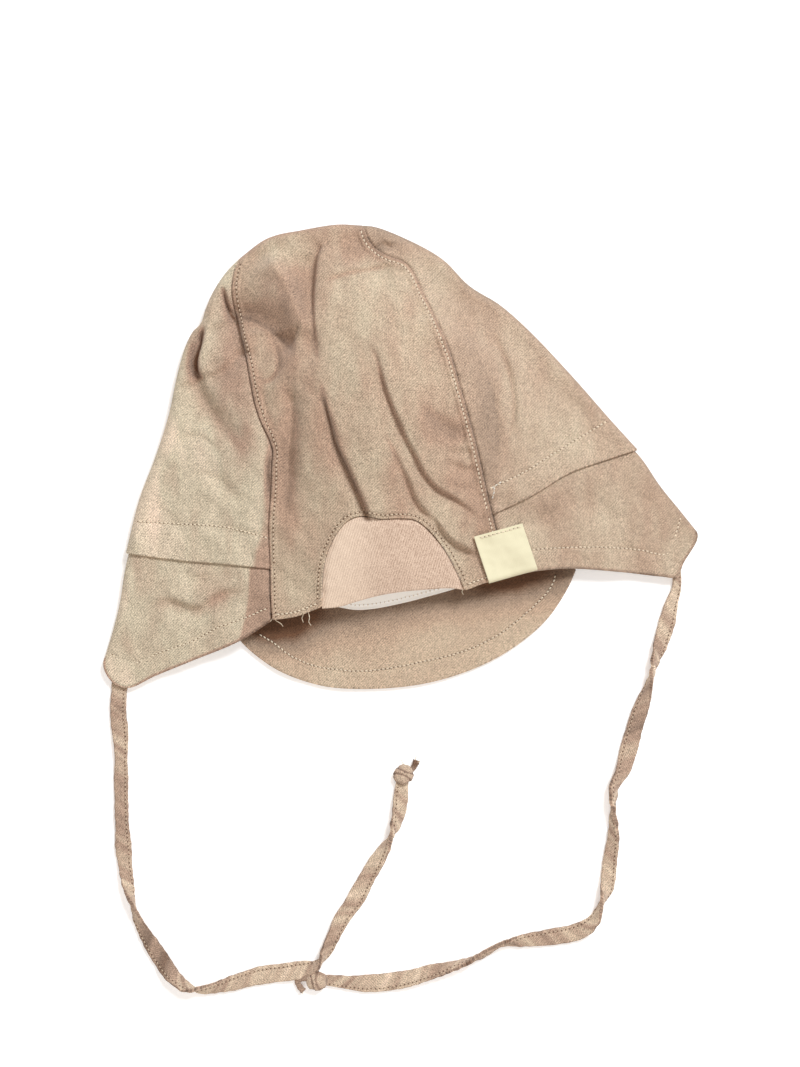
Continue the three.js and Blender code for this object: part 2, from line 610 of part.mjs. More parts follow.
// The label is folded over the back hem: an outer leg, a round bend and an inner leg
function hemLabel() {
  const corner = new THREE.Vector3(...LABEL_TOP_LEFT, 0);
  const acrossEdge = new THREE.Vector3(...LABEL_TOP_RIGHT, 0).sub(corner);
  const downEdge = new THREE.Vector3(...LABEL_BOTTOM_LEFT, 0).sub(corner);
  const length = downEdge.length();
  const down = downEdge.clone().normalize();
  const stations = [];
  for (let i = 0; i <= LABEL_LEG_ROWS; i += 1) {
    stations.push({ reach: (length * i) / LABEL_LEG_ROWS, angle: 0 });
  }
  for (let i = 1; i < LABEL_BEND_ROWS; i += 1) {
    stations.push({ reach: length, angle: (Math.PI * i) / LABEL_BEND_ROWS });
  }
  for (let i = 0; i <= LABEL_LEG_ROWS; i += 1) {
    stations.push({ reach: length - (LABEL_BACK * i) / LABEL_LEG_ROWS, angle: Math.PI });
  }
  const middle = CLOTH / 2;
  const geometry = closedSheet(stations.length - 1, LABEL_COLUMNS, (i, j, face) => {
    const { reach, angle } = stations[i];
    const radius = LABEL_FOLD_RADIUS - face * LABEL_CLOTH;
    const base = corner.clone().addScaledVector(acrossEdge, j / LABEL_COLUMNS);
    const onHat = base.clone().addScaledVector(down, Math.min(reach, length - LABEL_PAST_HEM));
    const surface = wallPoint(onHat, true, 0).z - middle;
    base.addScaledVector(down, reach + Math.sin(angle) * radius);
    return new THREE.Vector3(base.x, base.y, surface + Math.cos(angle) * radius);
  });
  return piece('label', geometry, LABEL);
}

// A flat strap on the floor, of eight-sided section, lifted where it twists
function tie(name, table) {
  const centre = planCurve(table.map(({ x, y }) => [x, y]));
  const marks = table.map(({ x, y }) => {
    let best = 0;
    let closest = Infinity;
    for (let i = 0; i <= 600; i += 1) {
      const gone = centre(i / 600).distanceTo(new THREE.Vector3(x, y, 0));
      if (gone < closest) {
        closest = gone;
        best = i / 600;
      }
    }
    return best;
  });
  const flatAt = (part) => {
    const next = Math.max(marks.findIndex((mark) => mark >= part), 1);
    const share = (part - marks[next - 1]) / Math.max(marks[next] - marks[next - 1], 1e-6);
    return lerp(table[next - 1].flat, table[next].flat, clamp(share, 0, 1));
  };
  const section = [[1, 0.3], [0.9, 1], [-0.9, 1], [-1, 0.3], [-1, -0.3], [-0.9, -1], [0.9, -1], [1, -0.3]];
  const positions = [];
  for (let i = 0; i <= TIE_STEPS; i += 1) {
    const part = i / TIE_STEPS;
    const point = centre(part);
    const ahead = centre(Math.min(part + 0.004, 1)).sub(centre(Math.max(part - 0.004, 0)));
    const sideways = new THREE.Vector3(ahead.y, -ahead.x, 0).normalize();
    const turn = Math.acos(clamp(flatAt(part), 0, 1));
    const halfHeight = (TIE_WIDTH * Math.sin(turn) + TIE_THICKNESS * Math.cos(turn)) / 2;
    section.forEach(([u, v]) => {
      const wide = (u * TIE_WIDTH) / 2;
      const thick = (v * TIE_THICKNESS) / 2;
      const out = wide * Math.cos(turn) - thick * Math.sin(turn);
      const up = wide * Math.sin(turn) + thick * Math.cos(turn);
      positions.push(point.x + sideways.x * out, point.y + sideways.y * out, halfHeight + up);
    });
  }
  return piece(name, sweptGeometry(positions, TIE_STEPS + 1, section.length), COTTON);
}

// Closes a row of rings, each with the same number of points, by flat ends
function sweptGeometry(positions, rings, around) {
  const index = [];
  for (let i = 0; i + 1 < rings; i += 1) {
    for (let j = 0; j < around; j += 1) {
      const a = i * around + j;
      const b = i * around + ((j + 1) % around);
      index.push(a, b, b + around, a, b + around, a + around);
    }
  }
  const last = (rings - 1) * around;
  for (let j = 1; j + 1 < around; j += 1) {
    index.push(0, j + 1, j, last, last + j, last + j + 1);
  }
  return closedGeometry(positions, index);
}

function knot(name, place) {
  const heading = new THREE.Vector3(place.towardsX - place.x, place.towardsY - place.y, 0);
  heading.normalize();
  const sideways = new THREE.Vector3(heading.y, -heading.x, 0);
  const sides = 8;
  const positions = [];
  KNOT_SECTIONS.forEach(({ along, half, height }) => {
    for (let j = 0; j < sides; j += 1) {
      const angle = (2 * Math.PI * (j + 0.5)) / sides;
      const out = half * Math.cos(angle);
      const up = (height / 2) * (1 + Math.sin(angle) / Math.cos(Math.PI / sides));
      positions.push(
        place.x + heading.x * along + sideways.x * out,
        place.y + heading.y * along + sideways.y * out,
        up,
      );
    }
  });
  return piece(name, sweptGeometry(positions, KNOT_SECTIONS.length, sides), COTTON);
}

const sunHat = new THREE.Group();
sunHat.add(
  crownCenter(),
  sidePanel('side_left', leftSide),
  sidePanel('side_right', rightSide),
  earFlap('flap_left', leftSide),
  earFlap('flap_right', rightSide),
  backPatch(),
  visor(),
  innerBand(),
  hemLabel(),
  tie('tie_left', TIE_LEFT),
  tie('tie_right', TIE_RIGHT),
  knot('tie_knot_left', KNOT_LEFT),
  knot('tie_knot_right', KNOT_RIGHT),
);

export default sunHat;
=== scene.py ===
"""A baby's cotton sun hat with ear flaps, lying on its front with its back up."""
import math
from collections import namedtuple

import bpy
import numpy as np
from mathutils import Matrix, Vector


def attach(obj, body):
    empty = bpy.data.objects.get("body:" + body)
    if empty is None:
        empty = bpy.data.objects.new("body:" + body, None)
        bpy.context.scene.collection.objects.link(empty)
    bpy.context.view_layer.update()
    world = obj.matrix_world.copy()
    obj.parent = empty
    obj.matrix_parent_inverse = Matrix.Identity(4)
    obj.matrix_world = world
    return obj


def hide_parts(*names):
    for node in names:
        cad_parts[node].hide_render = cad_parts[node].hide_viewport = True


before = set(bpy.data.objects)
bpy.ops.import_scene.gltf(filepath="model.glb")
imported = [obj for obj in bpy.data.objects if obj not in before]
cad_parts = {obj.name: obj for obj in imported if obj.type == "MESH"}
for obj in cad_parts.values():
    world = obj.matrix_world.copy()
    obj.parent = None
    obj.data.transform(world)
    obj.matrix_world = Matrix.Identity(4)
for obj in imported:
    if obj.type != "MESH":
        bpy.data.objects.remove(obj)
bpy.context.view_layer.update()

# Driving sizes, in millimetres as in the part's source. x runs to the right, y up the
# page from the mouth to the folded top, and z up from the surface the hat lies on.
MM = 0.001
CLOTH = 1.1                   # wall of the doubled cotton
FINE = 0.72                   # distance between points across the upper wall
SEAM_STEP = 0.85              # and along its seams
COARSE = 4.0                  # and on the wall that lies on the surface
SEAM_DRAW = 0.42              # a panel's edge is this far from its seam line
SEAM_ROUND = 0.38             # and its round edge reaches back this far
HEM_ROUND = 0.5
NESTED = 1.3                  # how far a flap lies under its side panel
TUCK_OVERLAP = 8              # and how far up it reaches there
TUCK_RELEASE = 9              # below the tuck it comes out over about this length
FLAP_STRETCH = 1.35           # its rows are spaced as if it were this much longer than its seam
FLAT_HEIGHT = 9.0             # of the upper wall where nothing lifts it
RISE_LENGTH = 15              # and over how far from the folded side it rises to it
UNROLL_REACH = 32             # how far from the side the weave is shifted by the fold
CROWN_FOLD_RADIUS = 4.4
TUCK_FOLD_RADIUS = 4
TIP_FOLD_RADIUS = 1.8
GROOVE_DEPTH = 0.34           # how far stitches press the cotton down
# painted shade: deep creases are painted rose beside their line
DEEP_CREASE = 2.7             # creases deeper than this are rose beside their line
RIPPLE_WAVES = 14
PATCH_RISE = 32               # about as deep as the patch, to space its rows
VISOR_DEPTH = 33              # and the visor
VISOR_THICKNESS = 2.2
VISOR_UNDERSIDE = 0.35        # it lies this far above the surface
VISOR_TUCKED_IN = 0.2         # and starts this far inside the front hem
TIE_WIDTH = 7.2
TIE_THICKNESS = 1.3
TIE_STEP = 0.75
LABEL_CLOTH = 0.7
LABEL_FOLD_RADIUS = 2.2
LABEL_BACK = 11               # length of its inner leg
LABEL_PAST_HEM = 1.2          # its end keeps the height that the cloth has this far before it
LABEL_SINK = 0.7              # its fold's middle lies this far below the cloth
BAND_WIDTH = 20
BAND_CLOTH = 0.9
THREAD_RADIUS = 0.29
STITCH_PITCH = 1.8
STITCH_LENGTH = 1.35
HOLE_LENGTH = 0.55
ROW_STEP = 0.4                # distance between the points that a row of stitches follows
RANDOM_SEED = 7
UP = np.array([0, 0, 1.0])

# The camera looks straight down on the hat
CAMERA_PLACE = (-0.0003, -0.0326, 0.7)
CAMERA_LENS = 55.5

# Plan curves, each from the hem upwards or from left to right
SEAM_LEFT_HEM = [(-54, -68.5), (-54.5, -57), (-54.5, -47)]
SEAM_LEFT_CROWN = [
    (-54.5, -47), (-54.8, -30.5), (-53.6, -12), (-53.4, -4), (-53, 1.5), (-54.4, 6.5),
    (-57.8, 13.7), (-60.5, 21.9), (-62, 29.4), (-63.8, 38.5), (-66.2, 47.6), (-69, 58),
    (-70.7, 69.3), (-69.8, 78), (-68, 83.8),
]
SEAM_RIGHT_HEM = [(45.3, -50.2), (41, -36), (38, -24.5)]
SEAM_RIGHT_CROWN = [
    (38, -24.5), (35, -12.5), (30, 7.5), (24.5, 26.5), (19, 45), (10.5, 64.5),
    (2.5, 80), (-6.5, 84), (-12.9, 89.5), (-16.2, 97.6),
]
FRONT_SEAM_LEFT_HEM = [(-54.5, -67), (-54.5, -57), (-54.5, -47)]
FRONT_SEAM_LEFT_CROWN = [(-54.5, -47), (-60.5, 20), (-68, 83.8)]
FRONT_SEAM_RIGHT_HEM = [(44.5, -49.5), (41, -37), (38, -24.5)]
FRONT_SEAM_RIGHT_CROWN = [(38, -24.5), (14, 38), (-16.2, 97.6)]
FOLD_LEFT_FLAP = [(-125.5, -85), (-121.8, -73), (-118.6, -60), (-116.2, -40.5)]
FOLD_LEFT_CROWN = [
    (-116.2, -40.5), (-110.5, -18), (-103.5, 0.5), (-98, 18), (-94.6, 34), (-91.2, 46),
    (-88, 52.6), (-84.4, 56.4), (-82.6, 62), (-79.4, 69.4), (-73.8, 77.9), (-68, 83.8),
]
FOLD_TOP = [
    (-68, 83.8), (-58.2, 91.2), (-52.4, 93.6), (-43.6, 95.3), (-27, 98), (-16.2, 97.6),
]
FOLD_RIGHT_CROWN = [
    (100, 3.2), (88.5, 15.8), (73.3, 33.1), (54.5, 53), (42, 64), (28.9, 72.2),
    (19.3, 82), (12.4, 86.8), (-3.1, 94.3), (-11, 97), (-16.2, 97.6),
]
FOLD_RIGHT_FLAP = [(125.5, -31.5), (118.5, -22.9), (109.1, -11.3), (100, 3.2)]
HEM_LEFT_FLAP = [
    (-54.5, -69), (-68, -77.5), (-89.5, -86.5), (-104, -92.5), (-115.5, -97.6),
    (-121.5, -95.5), (-125.2, -90), (-125.5, -85),
]
HEM_RIGHT_FLAP = [
    (45.3, -50.5), (57, -48), (71.5, -47), (93, -48.5), (110, -50.4), (116.5, -50.6),
    (119.6, -44.5), (125, -35.5), (125.5, -31.5),
]
TUCK_LEFT = [(-54.5, -47), (-72.5, -45.2), (-92, -43.6), (-116.2, -40.5)]
TUCK_RIGHT = [(38, -24.5), (54.5, -16.5), (70.7, -6.9), (86.8, -1.2), (100, 3.2)]
HEM_STRIP_LEFT = [(-54, -68.5), (-44, -67), (-33.4, -63)]
HEM_STRIP_RIGHT = [(26.9, -56), (35, -53), (45.3, -50.2)]
PATCH_ARCH = [
    (-33.2, -62.8), (-32, -47), (-30, -39.5), (-25, -30.5), (-20.5, -26.6),
    (-15.5, -25.4), (-8, -26.7), (-1, -26.4), (5.5, -27), (10.5, -30.2), (18, -39),
    (22.8, -47.5), (26.7, -55.8),
]
PATCH_HEM = [
    (-33.2, -63.6), (-26, -62.9), (-18.2, -60.5), (-8.9, -58), (1.6, -56.3), (12.1, -55.5),
    (20, -55), (26.7, -55.8),
]
FRONT_HEM_LEFT = [(-54.5, -67), (-90, -76), (-125.5, -85)]
FRONT_HEM_CROWN = [
    (-54.5, -67), (-47, -65.8), (-35, -62.9), (-27.5, -63.3), (-19.7, -64.6), (-11.8, -64.2),
    (1.5, -61.6), (12.1, -58.8), (20.7, -56.4), (27, -54.4), (35, -52), (44.5, -49.5),
]
FRONT_HEM_RIGHT = [(44.5, -49.5), (85, -41.5), (125.5, -31.5)]
VISOR_EDGE = [
    (-72, -73), (-63.5, -81.9), (-51.5, -90.3), (-34.5, -96.4), (-17.5, -98.02),
    (8, -96.1), (29, -90.2), (45.5, -81.9), (61, -69.3), (70, -56.3), (73.8, -48),
]
# Shares of the two flaps' front hems that the visor covers, and how much of its
# inner edge lies along them
VISOR_ON_LEFT = {"share": 0.24, "part": 0.12}
VISOR_ON_RIGHT = {"share": 0.35, "part": 0.2}
LABEL_TOP_LEFT = (30.5, -34)
LABEL_TOP_RIGHT = (50.6, -28.5)
LABEL_BOTTOM_LEFT = (36.4, -51.4)

# Shares of a whole seam, and of the hem of the strip
HEM_SHARE = 0.16              # of a seam, the part between hem and tuck
WAIST_SHARE = 0.33            # where the strip's grid passes above the patch
ARCH_FROM = 0.2               # where the patch starts and ends across the strip
ARCH_TO = 0.82
# The strip's columns are spaced like this at the hem and at the waist
ACROSS_HEM = (0, ARCH_FROM, 0.51, ARCH_TO, 1)
ACROSS_WAIST = (0, 0.1, 0.45, 0.93, 1)

# What lifts or lowers the upper wall: centre, how far it spreads and its height
PUFFS = [
    ((-8, 24), (40, 42), 24),             # the crown
    ((-11, -46), (22, 15), 4.5),          # over the patch
    ((-122, -92), (28, 22), -6.2),        # the left tip
    ((122, -40), (26, 20), -6),           # the right tip
    ((-77, 50), (4.5, 9), 3.4),           # a pillow on the left side
    ((-56.5, 40.5), (3.6, 5.5), -2.6),    # a dent beside the left seam
]

# Creases, read down the page: name, depth, which is below 0 for a ridge, widths of the
# slopes on its left and right, height of the roll right of it and how far that falls
# away, shares of the length over which it starts and ends, how much painted shade darkens
# the cloth right in it, 1 for an edge or 1.5 for a soft slope, and its path
CREASE_TABLE = [
    ("main", 4.4, (5, 3.6), (0, 14), (0.15, 0.5), 0, 1.5, [(-37, 88), (-39, 82), (-40, 72.5),
        (-40.3, 63.5), (-39.4, 54), (-38, 45), (-36, 34)]),
    ("main edge", 2.4, (2.6, 0.7), (1.6, 14), (0.1, 0.75), 1.0, 1.5, [(-32.6, 90), (-34.6, 86),
        (-35.8, 81), (-36.4, 72.5), (-36.7, 63.5), (-36, 54), (-35, 45), (-33.2, 34)]),
    ("lower", 4.6, (3, 0.8), (2.2, 12), (0.9, 0.06), 1.3, 1.5, [(-33.4, 33), (-32, 26), (-29.9, 16.1),
        (-27, 5), (-21.7, -6.5), (-16.2, -18.8), (-13.7, -24.6), (-12.8, -28)]),
    ("lower wrinkle", 1, (1.8, 1), (0.4, 4), (0.3, 0.4), 0.5, 1.5, [(-33.6, 26), (-30.6, 18),
        (-27.8, 11), (-25.5, 4)]),
    ("long right", 2.6, (4.8, 0.8), (1.4, 9), (0.3, 0.2), 0.8, 1.5, [(-17.5, 46.5), (-13.2, 44.5),
        (-9.9, 39), (-8.3, 32.3), (-7.1, 27.7), (-4.3, 19.8), (-1.3, 13), (1.8, 6.2), (5.3, -0.6),
        (8.7, -7.4), (14.4, -14), (22.4, -18.6), (28.4, -23.1), (34.2, -27)]),
    ("over the patch", 2.5, (4.5, 1.5), (1.8, 6), (0.65, 0.2), 0.6, 1.5, [(-8.5, 11.9), (-3.6, 2.5),
        (-0.3, -5.7), (2.6, -12), (4.9, -18.2), (8.6, -23.4), (14.6, -29)]),
    ("to the label", 2.8, (4, 1.2), (1.5, 5), (0.35, 0.2), 0, 1.5, [(11.5, -23.5), (16.1, -31.1),
        (19.9, -35.6), (26, -39.4), (32.6, -42.7)]),
    ("shoulder", 7, (5, 8), (0, 8), (0.16, 0.16), 0.8, 1.5, [(-75, 59), (-68, 58.6), (-60.4, 56.2),
        (-54.2, 52.4), (-49.6, 48.4), (-46.2, 44.6), (-42.4, 43.6)]),
    ("facet edge", -7.5, (11, 5), (0, 8), (0.2, 0.2), 0, 1.1, [(-58, 86), (-53.9, 79.2), (-49, 72.6),
        (-45.7, 65.3), (-42.4, 57.9), (-40.8, 51.4), (-41.2, 45.7)]),
    ("left flank", 3, (4, 12), (0, 8), (0.35, 0.45), 0, 1.5, [(-63, 44), (-57.5, 26), (-53.5, 8),
        (-52.5, -12), (-53, -30)]),
    ("wedge", 1.6, (3, 5), (0, 8), (0.4, 0.3), 0, 1.5, [(-40.5, 56), (-38.2, 48.5), (-35.6, 40.2),
        (-35, 36)]),
    ("top plane", 1.8, (9, 1.2), (0, 8), (0.25, 0.15), 0.5, 1.5, [(-33, 71.5), (-23.5, 74.9),
        (-13.5, 77.4), (-2.5, 79.4)]),
    ("pocket", 7, (3, 1.2), (2.6, 8), (0.4, 0.2), 1.8, 1.5, [(-83.2, 57), (-84.6, 48.1), (-85.8, 44),
        (-86.6, 39.8), (-85.8, 35.2), (-82.4, 31.5)]),
    ("pocket tail", 4.6, (6, 5), (1, 11), (0.1, 0.6), 0, 1.5, [(-87.5, 34), (-85, 27), (-80.5, 19),
        (-74, 11.5), (-67.5, 4), (-62, -3)]),
    ("pillow edge", 2.6, (4.5, 1.8), (0.6, 5), (0.2, 0.2), 0, 1.5, [(-82.5, 32), (-75.5, 34.5),
        (-69.5, 40), (-67.6, 46)]),
    ("notch", 3.6, (2.6, 1), (0, 5), (0.3, 0.15), 1.6, 1.5, [(-75.4, 72.5), (-74.2, 67), (-72.8, 62),
        (-70.4, 58), (-68.6, 55)]),
    ("under the notch", 4.2, (7, 2), (0, 5), (0.15, 0.5), 0, 1.2, [(-70.4, 58), (-68.2, 50),
        (-66.2, 43), (-64.8, 36)]),
    ("beside the left seam", 4, (2.4, 4.2), (0.6, 7), (0.15, 0.35), 0, 1.5, [(-51.4, 25.8),
        (-48.4, 26.6), (-46.2, 23.8), (-45.4, 18.8), (-46, 5.9), (-47.4, -14.7), (-48.2, -31.1)]),
    ("c pucker", 2.2, (2, 2.2), (0.5, 4), (0.35, 0.3), 1.1, 1.5, [(-54.3, 49), (-51.9, 45.4),
        (-50.6, 40.5), (-51.2, 35), (-54.4, 31), (-60.4, 30.2)]),
    ("upper pucker", 1.1, (1.6, 1.6), (0.3, 3), (0.1, 0.6), 0, 1.5, [(-64.8, 43.4), (-61.4, 42.4),
        (-58.6, 43)]),
    ("left seam line", 1.3, (1.6, 0.8), (0.6, 2), (0.3, 0.3), 0.9, 1.5, [(-54.3, 0.5), (-55.3, -5),
        (-55.1, -11), (-55, -18)]),
    ("right smudge", 2.8, (4, 4), (0.4, 4), (0.5, 0.1), 0, 1.5, [(7.5, 18.5), (12.1, 15.4),
        (17.3, 11.7), (22.2, 8.4), (27.5, 6.4)]),
    ("second seam pucker", 1.7, (2.6, 1.6), (0.4, 3), (0.5, 0.1), 0, 1.5, [(17, -1.4), (22.4, -5),
        (27, -6.4), (32, -5.4)]),
    ("third seam pucker", 1.4, (2.6, 1.6), (0.4, 3), (0.5, 0.1), 0, 1.5, [(20, -11), (25.9, -14),
        (30, -14), (34, -12.4)]),
    ("short seam pucker", 1.6, (2, 1.6), (0.3, 3), (0.5, 0.1), 0, 1.5, [(17, 2.9), (21, 0.9),
        (25, 0.5), (29.6, 1.2)]),
    ("upper right dent", 2, (4, 5), (0, 3), (0.4, 0.3), 0, 1.5, [(-1, 39), (5, 42), (11.9, 43.6),
        (18.6, 42)]),
    ("pleat at the top", 1.8, (1.6, 1.6), (0.8, 3), (0.35, 0.2), 0, 1.5, [(-11.6, 84.6), (-10.2, 87.4),
        (-7, 88.8), (-3, 87)]),
    ("right panel", 1.5, (6, 1.6), (0.8, 7), (0.35, 0.3), 0.5, 1.5, [(36.5, 56), (41.5, 45), (44, 38),
        (46.3, 28.5), (47, 19), (45.8, 11), (43, 3)]),
    ("right panel low", 1.3, (4, 2.4), (0.3, 5), (0.4, 0.4), 0.4, 1.5, [(32, 40), (36.6, 30),
        (39.4, 18), (40.4, 6), (38.3, -6)]),
    ("left flap dent", 2.8, (3.4, 2), (0.4, 4), (0.3, 0.3), 0, 1.5, [(-110, -66), (-104, -63.6),
        (-98, -62), (-90.4, -64.4), (-84.5, -65), (-77.8, -60.4), (-70, -57.4), (-62, -57.6)]),
    ("short flap dent", 1.2, (2.4, 2.4), (0, 3), (0.4, 0.4), 0, 1.5, [(-96, -50), (-89, -51.5),
        (-81.9, -52), (-75, -50.2), (-66, -51.4)]),
    ("over the right tuck", -2.6, (7, 8), (0, 3), (0.3, 0.35), 0, 1.3, [(42, -24), (54.5, -17),
        (70.7, -7.5), (86.8, -1.7)]),
    ("right flap dent", 1.6, (4, 5), (0, 3), (0.3, 0.4), 0, 1.5, [(47, -32), (60, -26), (75, -19),
        (90, -14)]),
    ("panel wrinkle", 0.9, (2.5, 2), (0.3, 3), (0.4, 0.4), 0, 1.5, [(-98, 4), (-88, 8), (-80, 5),
        (-73, -2)]),
    ("lower panel wrinkle", 0.8, (2.5, 2), (0.3, 3), (0.4, 0.4), 0, 1.5, [(-92, -14), (-84, -8),
        (-74, -12), (-66, -20)]),
]

# Centre lines of the ties on the surface, from the flap tip into the knot. Each station
# has its place, how far the strap has turned over in degrees, its tone, which is partly
# painted shade where the strap twists, and its width as a share of the full width.
TIE_LEFT = [
    (-119.2, -94.6, 0, 0.8, 0.95), (-119.8, -102, 4, 1.0, 0.98), (-120, -109, 0, 1.4, 0.93),
    (-119.5, -114.4, 0, 1.0, 1.02), (-118.8, -121.5, 14, 0.8, 0.84),
    (-118.8, -131, 4, 0.9, 0.82), (-118.8, -139.2, 0, 1.2, 0.8), (-118.4, -155.2, 6, 1.5, 0.84),
    (-117.5, -169.4, 0, 0.9, 0.93), (-115.9, -180, 30, 0.9, 0.8), (-113.8, -188.9, 90, 0.6, 0.8),
    (-111.2, -196.9, 140, 1.3, 0.85), (-107.2, -204.8, 165, 1.9, 0.85),
    (-102.3, -212.8, 180, 2.1, 1), (-97.2, -219.6, 205, 1.9, 0.95), (-91.3, -224.5, 243, 0.7, 0.9),
    (-87.5, -225.7, 288, 0.6, 0.9), (-83.4, -226, 302, 0.6, 0.9),
    (-74.5, -224.3, 345, 0.8, 0.9), (-60.4, -220.6, 358, 0.5, 1.08),
    (-46.5, -218.6, 365, 0.3, 1.05), (-40.4, -217.4, 375, 0.6, 1), (-36.4, -216.2, 405, 1.0, 0.9),
    (-34.2, -214.2, 450, 1.2, 0.8), (-32.3, -211.2, 490, 1.2, 0.8), (-28.5, -203.5, 525, 1.3, 0.85),
    (-24.8, -196, 540, 0.7, 0.95), (-19.7, -188.8, 540, 0.5, 1), (-13.8, -178, 544, 0.9, 1),
    (-9.2, -170, 572, 0.2, 1), (-4.5, -162, 622, 0.6, 1), (-1.2, -153, 690, 0.9, 0.95),
    (0, -145, 716, 0.7, 0.85), (0.4, -140, 710, 0.6, 0.78), (0.8, -136.8, 706, 0.6, 0.7),
]
TIE_RIGHT = [
    (117.4, -48.6, 0, 0.8, 0.5), (117.2, -55.5, 5, 0.7, 0.5), (114.9, -63, 8, 0.4, 0.85),
    (113.2, -70.4, 0, 0.6, 1), (110.6, -78.8, 12, 1.2, 0.92), (107.9, -86.4, 50, 0.9, 0.9),
    (105.7, -94.9, 92, 0.8, 1), (103, -103.4, 135, 1.3, 1), (100.2, -112, 165, 1.8, 1),
    (96.8, -124.7, 180, 1.0, 1.02), (94.3, -133.2, 192, 1.1, 0.95), (90.6, -139.6, 225, 1.3, 0.9),
    (90, -150.2, 270, 0.9, 0.9), (90.2, -160.9, 318, 1.0, 0.8), (88.9, -171.5, 350, 0.9, 0.85),
    (87.7, -182.1, 375, 0.5, 0.95), (85.1, -189.4, 440, 0.9, 0.9), (81.7, -197, 500, 0.4, 0.9),
    (74.5, -201.9, 535, 0.9, 1), (63.8, -204, 540, 1.1, 1), (51.1, -205.5, 565, 0.9, 0.8),
    (42.6, -206.8, 610, 1.2, 0.8), (34.1, -211.5, 600, 1.3, 0.8), (27.8, -214.2, 640, 1.2, 0.8),
    (21.3, -216.2, 655, 1.1, 0.85), (12.8, -218.6, 690, 0.9, 0.9), (4.3, -221.3, 712, 0.5, 1),
    (-6, -223.2, 722, 0.4, 1.05), (-16.5, -223.8, 716, 0.6, 1.0), (-24, -223.2, 728, 1.0, 0.8),
    (-29.5, -222.6, 722, 0.8, 0.6), (-33.5, -222.4, 720, 0.8, 0.55),
]
# Each knot has its centre, its heading, the places of its cut end and the tone there
KNOT_LEFT = {"at": (1.1, -134.8), "ahead": (0.5, 0.86), "tone": 2.7,
             "tail": [(3.4, -133.6), (5.2, -132.2), (6.2, -130.6), (6.7, -128.9)]}
KNOT_RIGHT = {"at": (-35.5, -222.3), "ahead": (-0.99, -0.1), "tone": 1.5,
              "tail": [(-38.4, -221.6), (-41.5, -221.3), (-43.9, -222.6), (-42.9, -225), (-41.3, -227)]}


# Curves and distances

def smooth(share):
    """Rises gently from 0 to 1"""
    share = np.clip(share, 0, 1)
    return share * share * (3 - 2 * share)


def mix(first, second, share):
    return first + (second - first) * share


def bell(distance, reach):
    """Falls from 1 at no distance to about a third at the reach"""
    return np.exp(-((distance / reach) ** 2))


def unit(vectors):
    return vectors / np.linalg.norm(vectors, axis=-1, keepdims=True)


def right_of(ahead):
    """Plan directions to the right of headings"""
    return np.stack([ahead[..., 1], -ahead[..., 0]], -1)


def length_gone(line):
    """How long a line is up to each of its points"""
    return np.concatenate([[0], np.cumsum(np.linalg.norm(np.diff(line, axis=0), axis=1))])


def read_line(line, gone, wanted):
    """Points of a line at wanted places, where gone has the place of each of its points"""
    return np.stack([np.interp(wanted, gone, line[:, k]) for k in range(line.shape[1])], -1)


def grid_of(*parts):
    """Coordinates that broadcast together, as one grid of points"""
    return np.stack(np.broadcast_arrays(*parts), -1)


class Curve:
    """A smooth line through the points of a table, read by its share of the length"""

    def __init__(self, table, steps=40):
        points = np.array(table, float)
        before = 2 * points[0] - points[1]
        after = 2 * points[-1] - points[-2]
        padded = np.vstack([before, points, after])
        t = np.linspace(0, 1, steps, endpoint=False)[:, None]
        spans = []
        for k in range(len(points) - 1):
            p0, p1, p2, p3 = padded[k:k + 4]
            d0, d1, d2 = (np.linalg.norm(b - a) ** 0.5 for a, b in ((p0, p1), (p1, p2), (p2, p3)))
            slope_1 = ((p1 - p0) / d0 - (p2 - p0) / (d0 + d1) + (p2 - p1) / d1) * d1
            slope_2 = ((p2 - p1) / d1 - (p3 - p1) / (d1 + d2) + (p3 - p2) / d2) * d1
            start = (2 * t**3 - 3 * t**2 + 1) * p1 + (t**3 - 2 * t**2 + t) * slope_1
            end = (3 * t**2 - 2 * t**3) * p2 + (t**3 - t**2) * slope_2
            spans.append(start + end)
        self.line = np.vstack([*spans, points[-1:]])
        self.gone = length_gone(self.line)
        self.length = self.gone[-1]

    def at(self, share):
        return read_line(self.line, self.gone, np.clip(share, 0, 1) * self.length)

    def heading(self, share):
        step = 0.3 / self.length
        return unit(self.at(np.minimum(share + step, 1)) - self.at(np.maximum(share - step, 0)))

    def beside(self, share, offset):
        """Points to the right of the line, or left of it where offset is below 0"""
        return self.at(share) + offset * right_of(self.heading(share))


def sampled(table, count=33):
    """Points evenly spaced along a table's curve"""
    return Curve(table).at(np.linspace(0, 1, count))


class Joined:
    """Two curves after each other, the first taking share of the length"""

    def __init__(self, first, second, share=HEM_SHARE):
        self.first = first
        self.second = second
        self.share = share

    def at(self, share):
        share = np.asarray(share, float)[..., None]
        low = self.first.at(share[..., 0] / self.share)
        high = self.second.at((share[..., 0] - self.share) / (1 - self.share))
        return np.where(share < self.share, low, high)


def nearest(line, points):
    """Distance of points from a line, their places along its steps, and 1 right of it or -1 left"""
    start = line[:-1]
    step = np.diff(line, axis=0)
    square = (step**2).sum(1)
    found = []
    for part in np.array_split(points, len(points) * len(start) // 3_000_000 + 1):
        off_x = part[:, :1] - start[:, 0]
        off_y = part[:, 1:2] - start[:, 1]
        share = np.clip((off_x * step[:, 0] + off_y * step[:, 1]) / square, 0, 1)
        away_x = off_x - share * step[:, 0]
        away_y = off_y - share * step[:, 1]
        gone = away_x**2 + away_y**2
        pick = gone.argmin(1)
        row = np.arange(len(part))
        side = step[pick, 1] * away_x[row, pick] - step[pick, 0] * away_y[row, pick]
        found.append(np.stack([
            np.sqrt(gone[row, pick]),
            pick + share[row, pick],
            np.where(side > 0, 1.0, -1.0),
        ]))
    return np.hstack(found)


